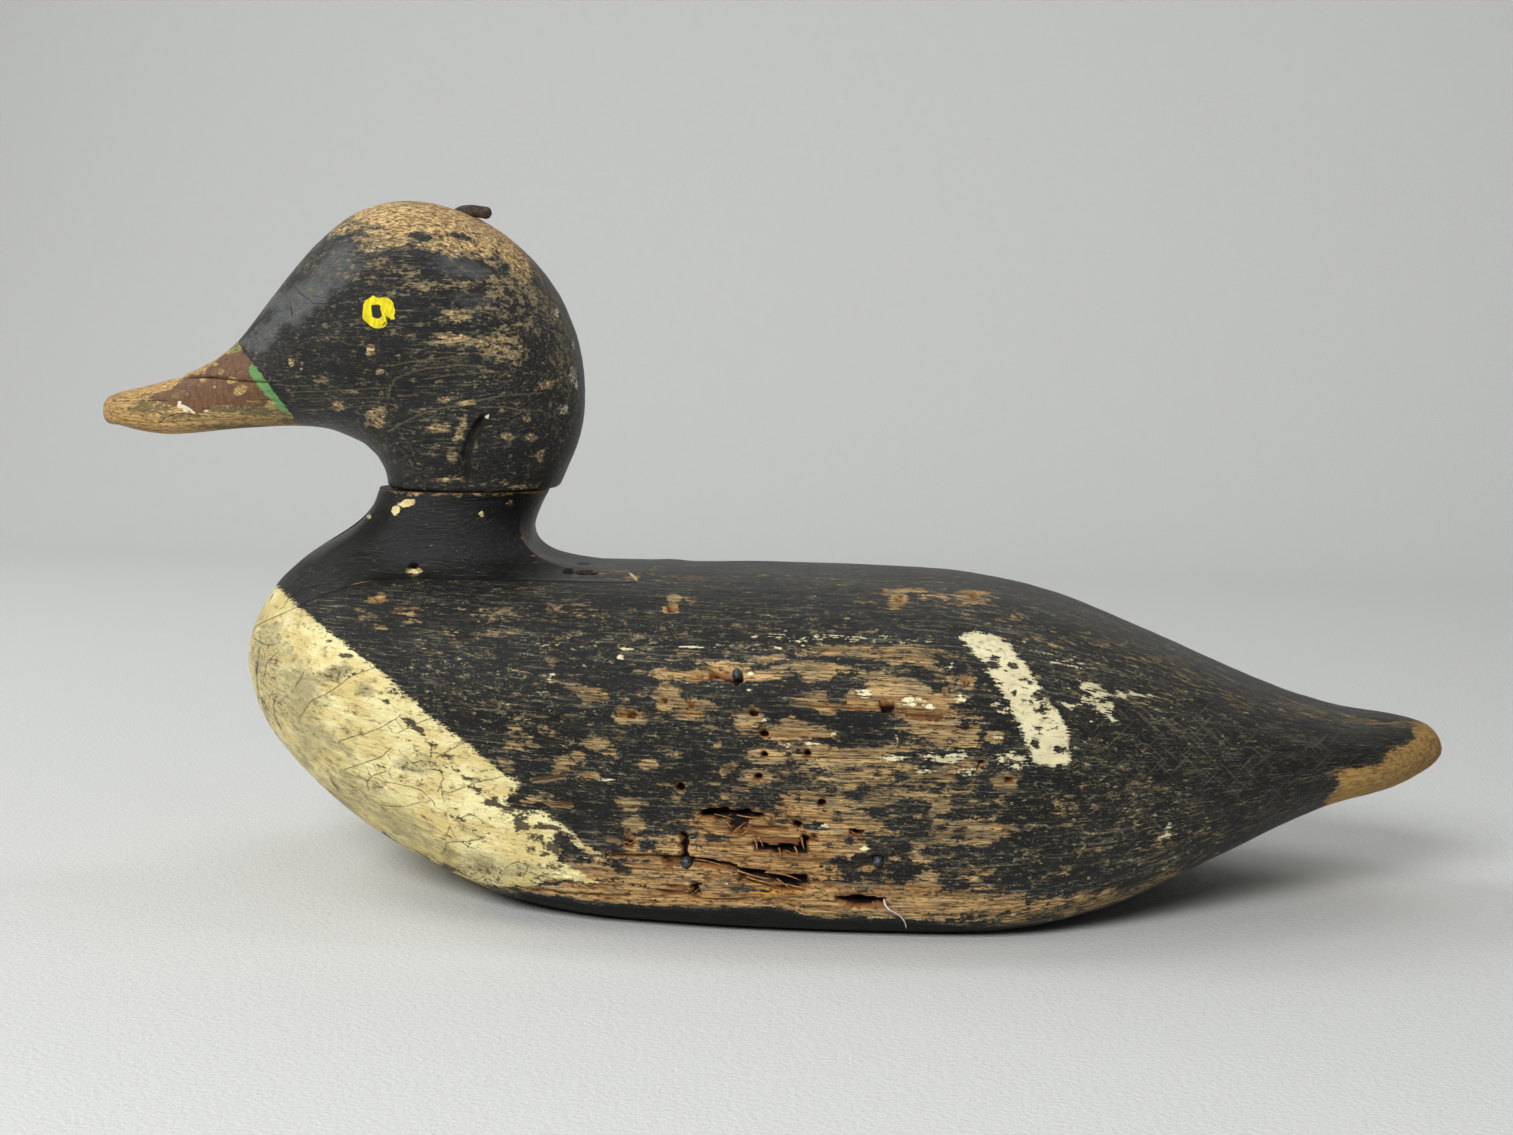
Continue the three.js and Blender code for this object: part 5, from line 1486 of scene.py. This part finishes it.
def body_finish():
    """Black paint worn to the wood, with a cream breast, a cream wing stripe and cream flecks."""
    f = Finish("worn_body_paint")
    f.follow(f.mark("along"), f.mark("strake"))
    rotten, hollow_and_shade = f.mark("rotten"), f.mark("hollow_depth_and_shade")
    wood, wood_relief = bare_wood(f, rotten)
    black, black_relief = black_paint(f, 1)
    hatching = f.node("CombineXYZ", {}, {"X": f.mark("hatch_down"), "Y": f.mark("hatch_up")})
    strokes_down = f.noise((11, 0.6, 1), 15, detail=3, place=hatching)
    strokes_up = f.noise((0.6, 9, 1), 16, detail=3, place=hatching)
    scratches = strokes_down.larger(strokes_up).over(0.85, 0.2) * f.mark("hatched")
    black = f.blend(scratches * 0.5, black, colour(112, 108, 90))
    cream, cream_relief = cream_paint(f, f.mark("grime_and_shade"))
    blotches, dashes, ragged = ragged_noises(f)
    cracked = fine_lines(f, ragged)

    flakes = f.noise((2.6, 1.6, 1.4), 18, detail=5, roughness=0.75)
    flaked = (f.mark("flaked") * 0.8 + flakes * 0.8 + blotches * 0.6).over(1.2, 0.1)
    chipped = f.blend(flakes.over(0.9, 0.5), colour(118, 106, 78), colour(208, 196, 152))
    black = f.blend(flaked * 0.85, black, chipped)
    chance = blotches * 0.42 + dashes * 0.3 + ragged * 0.24
    level = f.mark("bare") + chance
    worn = level.over(0.56, 0.05)
    bare_tip = (f.mark("bare_tail") + blotches * 1.2 + ragged * 0.8).over(0, 0.3)
    worn = worn.larger(bare_tip).larger((hollow_and_shade + ragged * 0.06).over(0.08, 0.08))
    stain = (f.mark("bare") + blotches * 0.35).over(0.5, 0.3).larger(bare_tip)
    ground = f.blend(stain, colour(122, 112, 86), wood)
    tip_grain = f.noise((9, 1.2, 0.8), 17, detail=4, roughness=0.6, place=f.level_place)
    tip_wood = f.blend(tip_grain.over(0.3, 1.4), colour(220, 176, 100), colour(158, 116, 66))
    ground = f.blend(bare_tip * 0.8, ground, tip_wood)
    frass = f.blend(ragged.over(0, 0.8), colour(150, 98, 38), colour(226, 170, 78))
    ground = f.blend(f.mark("frass") * 0.8, ground, frass)
    thin = level.over(0.46, 0.22) * (1 - worn)
    surface = f.blend(thin * 0.6, black, colour(88, 82, 62))
    surface = f.blend(worn, surface, ground)

    near_edge = (7.0 - f.mark("cream")).over(3, 6) * 0.22
    chips = (f.mark("cream_chips") + near_edge + blotches * 0.45 + ragged * 0.5).over(0.72, 0.05)
    breast = (f.mark("cream") + blotches * 0.5 + ragged * 0.8 + dashes * 0.5).over(0, 0.2) * (1 - chips)
    surface = f.blend((f.mark("cream") - 0.8).over(0, 0.6) * 0.8, surface, colour(96, 84, 62))
    stripe_chips = (f.mark("stripe_chips") + ragged * 0.5 + blotches * 0.35).over(0.56, 0.08)
    stripe = (f.mark("stripe") + ragged * 0.9 + dashes * 0.9).over(0, 0.2) * (1 - stripe_chips)
    flecks = (f.mark("flecks") + chance).over(0.74, 0.05)
    creamed = breast.larger(stripe).larger(flecks) * (1 - hollow_and_shade.over(0.2, 0.1))
    whitened = stripe.larger(flecks) * (1 - breast)
    torn = (hollow_and_shade + ragged * 0.1).over(0.22, 0.2) * (0.6 + dashes * 0.3).limited()
    surface = f.layers(
        f.blend(creamed, surface, f.blend(whitened * 0.5, cream, colour(248, 242, 212))),
        (cracked * 0.6, 56, 44, 30),
        # painted shade on the steps between torn layers
        (f.mark("ledge_shade") * 0.75, 52, 32, 18),
        (torn, 128, 78, 38),
        # painted shade in the deepest hollows
        ((hollow_and_shade + ragged * 0.1).over(0.62, 0.35), 24, 12, 7),
        # painted shade: near black and rough under the near side's wood edge and along the bottom
        (f.mark("painted_gap_shade") * 0.92, 9, 8, 7),
    )

    relief = worn * wood_relief + (1 - worn) * (0.16 + black_relief) + creamed * (cream_relief + 0.18)
    roughness = 0.42 + worn * 0.4 + creamed * 0.16 + thin * 0.12 + f.mark("painted_gap_shade") * 0.4
    return f.done(surface, roughness, f.bump(relief - cracked * 0.25), Specular_IOR_Level=0.3)


def neck_finish():
    """Smooth satin black, with cream at the front and chips at the joints."""
    f = Finish("satin_black_neck")
    wood, wood_relief = bare_wood(f, 0.2)
    black, black_relief = black_paint(f, 0.4)
    cream, cream_relief = cream_paint(f, f.mark("grime_and_shade"))
    blotches, dashes, ragged = ragged_noises(f)
    cracked = fine_lines(f, ragged)
    hollow_and_shade = f.mark("hollow_depth_and_shade")
    worn = (f.mark("bare") + blotches * 0.35 + dashes * 0.2 + ragged * 0.22).over(0.62, 0.06)
    surface = f.blend((f.mark("satin") * 0.6).limited(), black, colour(12, 13, 14))
    surface = f.blend(worn, surface, wood)
    chips = (f.mark("cream_chips") + blotches * 0.4 + ragged * 0.3).over(0.66, 0.06)
    breast = (f.mark("cream") + ragged * 1.1 + dashes * 0.5).over(0, 0.2) * (1 - chips)
    flecks = (f.mark("flecks") + ragged * 0.5).over(0.6, 0.08)
    creamed = breast.larger(flecks)
    surface = f.layers(
        f.blend(creamed, surface, cream),
        (cracked * 0.85, 30, 24, 20),
        # painted shade in the nail hole and at the top rim
        (hollow_and_shade.over(0.5, 0.7), 30, 20, 14),
    )
    relief = worn * wood_relief + (1 - worn) * (0.08 + black_relief * 0.6) + creamed * (cream_relief + 0.12)
    roughness = 0.42 - f.mark("satin") * (1 - worn) * 0.12 + worn * 0.36 + ragged * 0.03
    return f.done(surface, roughness, f.bump(relief - cracked * 0.3), Specular_IOR_Level=0.35)


def head_finish():
    """Worn black head with a bare crown, a brown bill edged in green, and yellow painted eyes."""
    f = Finish("worn_head_paint")
    wood, wood_relief = bare_wood(f, f.mark("bright_wood"))
    black, black_relief = black_paint(f, 0.75)
    blotches, dashes, ragged = ragged_noises(f)
    cracked = fine_lines(f, ragged)
    strokes = f.noise((1.2, 1.2, 3.2), 21, detail=3)
    hollow_and_shade = f.mark("hollow_depth_and_shade")

    level = f.mark("bare") + blotches * 0.42 + dashes * 0.3 + ragged * 0.26
    worn = level.over(0.58, 0.06)
    thin = level.over(0.46, 0.24) * 0.6 * (1 - worn)
    # Faded paint, and a painted sheen on the forehead, laid on as grey-blue
    fade_and_sheen = (f.mark("fade_and_sheen") + blotches * 0.3 + dashes * 0.2).over(0.75, 0.9)
    surface = f.layers(black, (fade_and_sheen * 0.75, 92, 95, 95), (thin, 88, 80, 60))
    fading = f.mark("bright_wood") * (1 - dashes.over(0.3, 0.6) * 0.6)
    specks = f.noise((1.8, 0.8, 0.7), 22, detail=5, roughness=0.72)
    crown = f.layers(
        wood,
        (0.35, 150, 132, 98),
        (fading * 0.7, 214, 178, 118),
        ((ragged + dashes * 0.6).over(0.4, 0.35) * 0.65, 104, 80, 50),
        (specks.over(0.28, 0.2) * 0.8, 84, 64, 40),
        ((0 - specks).over(0.35, 0.3) * 0.65, 242, 214, 156),
    )
    ground = f.blend(f.mark("bare").over(0.6, 0.4), colour(134, 122, 94), crown)
    surface = f.blend(worn, surface, ground)

    on_bill = 1 - (f.mark("black_edge") + ragged * 0.35).over(0, 0.2)
    grime_and_shade = (f.mark("grime_and_shade") + blotches * 0.4 + ragged * 0.35).over(0.55, 0.2)
    bill = f.layers(
        wood,
        (0.4, 222, 184, 116),
        ((ragged + dashes * 0.5).over(0.45, 0.35) * 0.7, 112, 82, 46),
        (specks.over(0.35, 0.2) * 0.65, 92, 70, 40),
        (grime_and_shade * 0.75, 86, 82, 60),
    )
    brown_tone = f.blend(strokes.over(0, 1.5), colour(96, 66, 44), colour(120, 86, 56))
    bill_chips = (f.mark("bill_chips") + ragged * 0.2).over(0.5, 0.1)
    brown = (f.mark("brown") + ragged * 0.45).over(0, 0.15) * (1 - bill_chips)
    bill = f.blend(brown, bill, brown_tone)
    traces = (f.mark("green_traces") + ragged * 0.7).over(0.8, 0.1)
    green = (f.mark("green") + ragged * 0.4 + blotches * 0.3 + 0.1).over(0, 0.15).larger(traces)
    bill = f.blend(green, bill, colour(108, 154, 92))
    surface = f.blend(on_bill, surface, bill)

    ring = (f.mark("eye_ring") + ragged * 0.12).over(0, 0.12)
    pupil = (f.mark("eye_pupil") + ragged * 0.1).over(0, 0.12)
    yellow = f.blend(strokes.over(0, 1.4), colour(214, 196, 18), colour(250, 232, 20))
    eye = ring * (1 - pupil)
    flecks = (f.mark("flecks") + ragged * 0.35).over(0.6, 0.08)
    pale_lines = (1.0 - abs(f.mark("arc_side") + ragged * 1.1)).over(0, 0.8) * f.mark("arc_near")
    surface = f.layers(
        f.blend(eye, surface, yellow),
        (pupil * 0.9, 34, 33, 36),
        (flecks, 228, 218, 190),
        (cracked * 0.9, 28, 22, 18),
        (pale_lines * 0.5, 112, 102, 78),
        # painted shade in the gouge and at the foot over the neck joint
        (hollow_and_shade.over(0.55, 0.8), 26, 20, 14),
    )

    bare = (worn * (1 - on_bill) + on_bill * (1 - brown)).limited()
    relief = bare * wood_relief + (1 - bare) * (0.08 + black_relief) + eye * 0.12 + green * 0.06
    relief = relief + eye * strokes * 0.03 - cracked * 0.3 - pale_lines * 0.05
    roughness = 0.36 + bare * 0.44
    return f.done(surface, roughness, f.bump(relief), Specular_IOR_Level=0.35)


def rusted_iron():
    f = Finish("rusted_iron")
    scale = f.noise((1.6, 1.6, 1.6), 31, detail=5, roughness=0.65)
    pits = f.noise((0.5, 0.5, 0.5), 32, detail=4)
    rust = f.blend(scale.over(0, 1.2), colour(44, 38, 35), colour(80, 66, 54))
    rust = f.blend(pits.over(0.6, 0.4) * 0.5, rust, colour(116, 92, 68))
    return f.done(rust, 0.78 + pits * 0.05, f.bump(scale * 0.12 + pits * 0.06), Metallic=0.25)


def dull_lead():
    f = Finish("dull_lead")
    dents = f.noise((0.7, 0.7, 0.7), 41, detail=4)
    lead = f.blend(dents.over(0, 1.2), colour(38, 41, 44), colour(80, 85, 90))
    return f.done(lead, 0.42 + dents * 0.08, f.bump(dents * 0.05), Metallic=0.55)


def torn_fibre():
    f = Finish("torn_fibre")
    lines = f.noise((4, 0.25, 0.25), 51, detail=3)
    wood = f.blend(lines.over(0, 1.2), colour(132, 84, 44), colour(206, 158, 96))
    return f.done(wood, 0.85, f.bump(lines * 0.08))


def pale_sliver():
    f = Finish("pale_sliver")
    lines = f.noise((1.5, 1.5, 1.5), 61, detail=4)
    fibre = f.blend(lines.over(0, 1.2), colour(206, 178, 172), colour(238, 226, 218))
    return f.done(fibre, 0.8, f.bump(lines * 0.06))


def pale_paper():
    f = Finish("pale_paper")
    tooth = f.noise((1.4, 1.4, 1.4), 71, detail=3)
    return f.done(colour(204, 205, 203), 0.9, f.bump(tooth * 0.05))


# Floor, backdrop and lights

def make_stage(finish):
    """A pale floor that curves up into a plain backdrop."""
    floor_front, floor_rear, bend, height, half_width = -1500, 1250, 450, 2000, 2500
    bend_steps = 24
    profile = [(floor_front, 0), (floor_rear - bend, 0)]
    for step in range(1, bend_steps + 1):
        angle = math.pi / 2 * step / bend_steps
        profile.append((floor_rear - bend + bend * math.sin(angle), bend - bend * math.cos(angle)))
    profile.append((floor_rear, height))
    points = [(x, y, z) for y, z in profile for x in (-half_width, half_width)]
    faces = [(2 * i, 2 * i + 1, 2 * i + 3, 2 * i + 2) for i in range(len(profile) - 1)]
    floor = make_mesh("floor_sweep", points, faces, finish)


def make_light(name, place, target, size, power):
    data = bpy.data.lights.new(name, "AREA")
    data.shape = "RECTANGLE"
    data.size, data.size_y = size[0] * MM, size[1] * MM
    data.energy = power
    light = bpy.data.objects.new(name, data)
    place = Vector(place) * MM
    light.location = place
    light.rotation_euler = (Vector(target) * MM - place).to_track_quat("-Z", "Y").to_euler()
    bpy.context.scene.collection.objects.link(light)


def light_the_room():
    make_light("softbox_front", (-280, -1230, 760), (0, 0, 40), (600, 450), 20.5)
    make_light("softbox_left", (-1060, 300, 1020), (0, 0, 80), (600, 600), 7.5)
    make_light("softbox_overhead", (0, -250, 1300), (0, 0, 0), (1300, 900), 2)
    make_light("softbox_backdrop", (350, 600, 1500), (250, 1250, 300), (1400, 500), 6)
    world = bpy.data.worlds.new("studio")
    world.use_nodes = True
    background = world.node_tree.nodes["Background"]
    background.inputs["Color"].default_value = (0.8, 0.82, 0.85, 1)
    background.inputs["Strength"].default_value = 0.12
    bpy.context.scene.world = world
    bpy.context.scene.view_settings.view_transform = "Standard"


FIBRE_LUMPS = Lumps(11)
ROT_LUMPS = Lumps(12)
BROAD_LUMPS = Lumps(13)

make_stage(pale_paper())
light_the_room()
make_body(body_finish())
make_neck(neck_finish())
make_head(head_finish())
make_spike(rusted_iron())
make_pellets(dull_lead())
make_torn_fibres(torn_fibre())
make_frayed_sliver(pale_sliver())
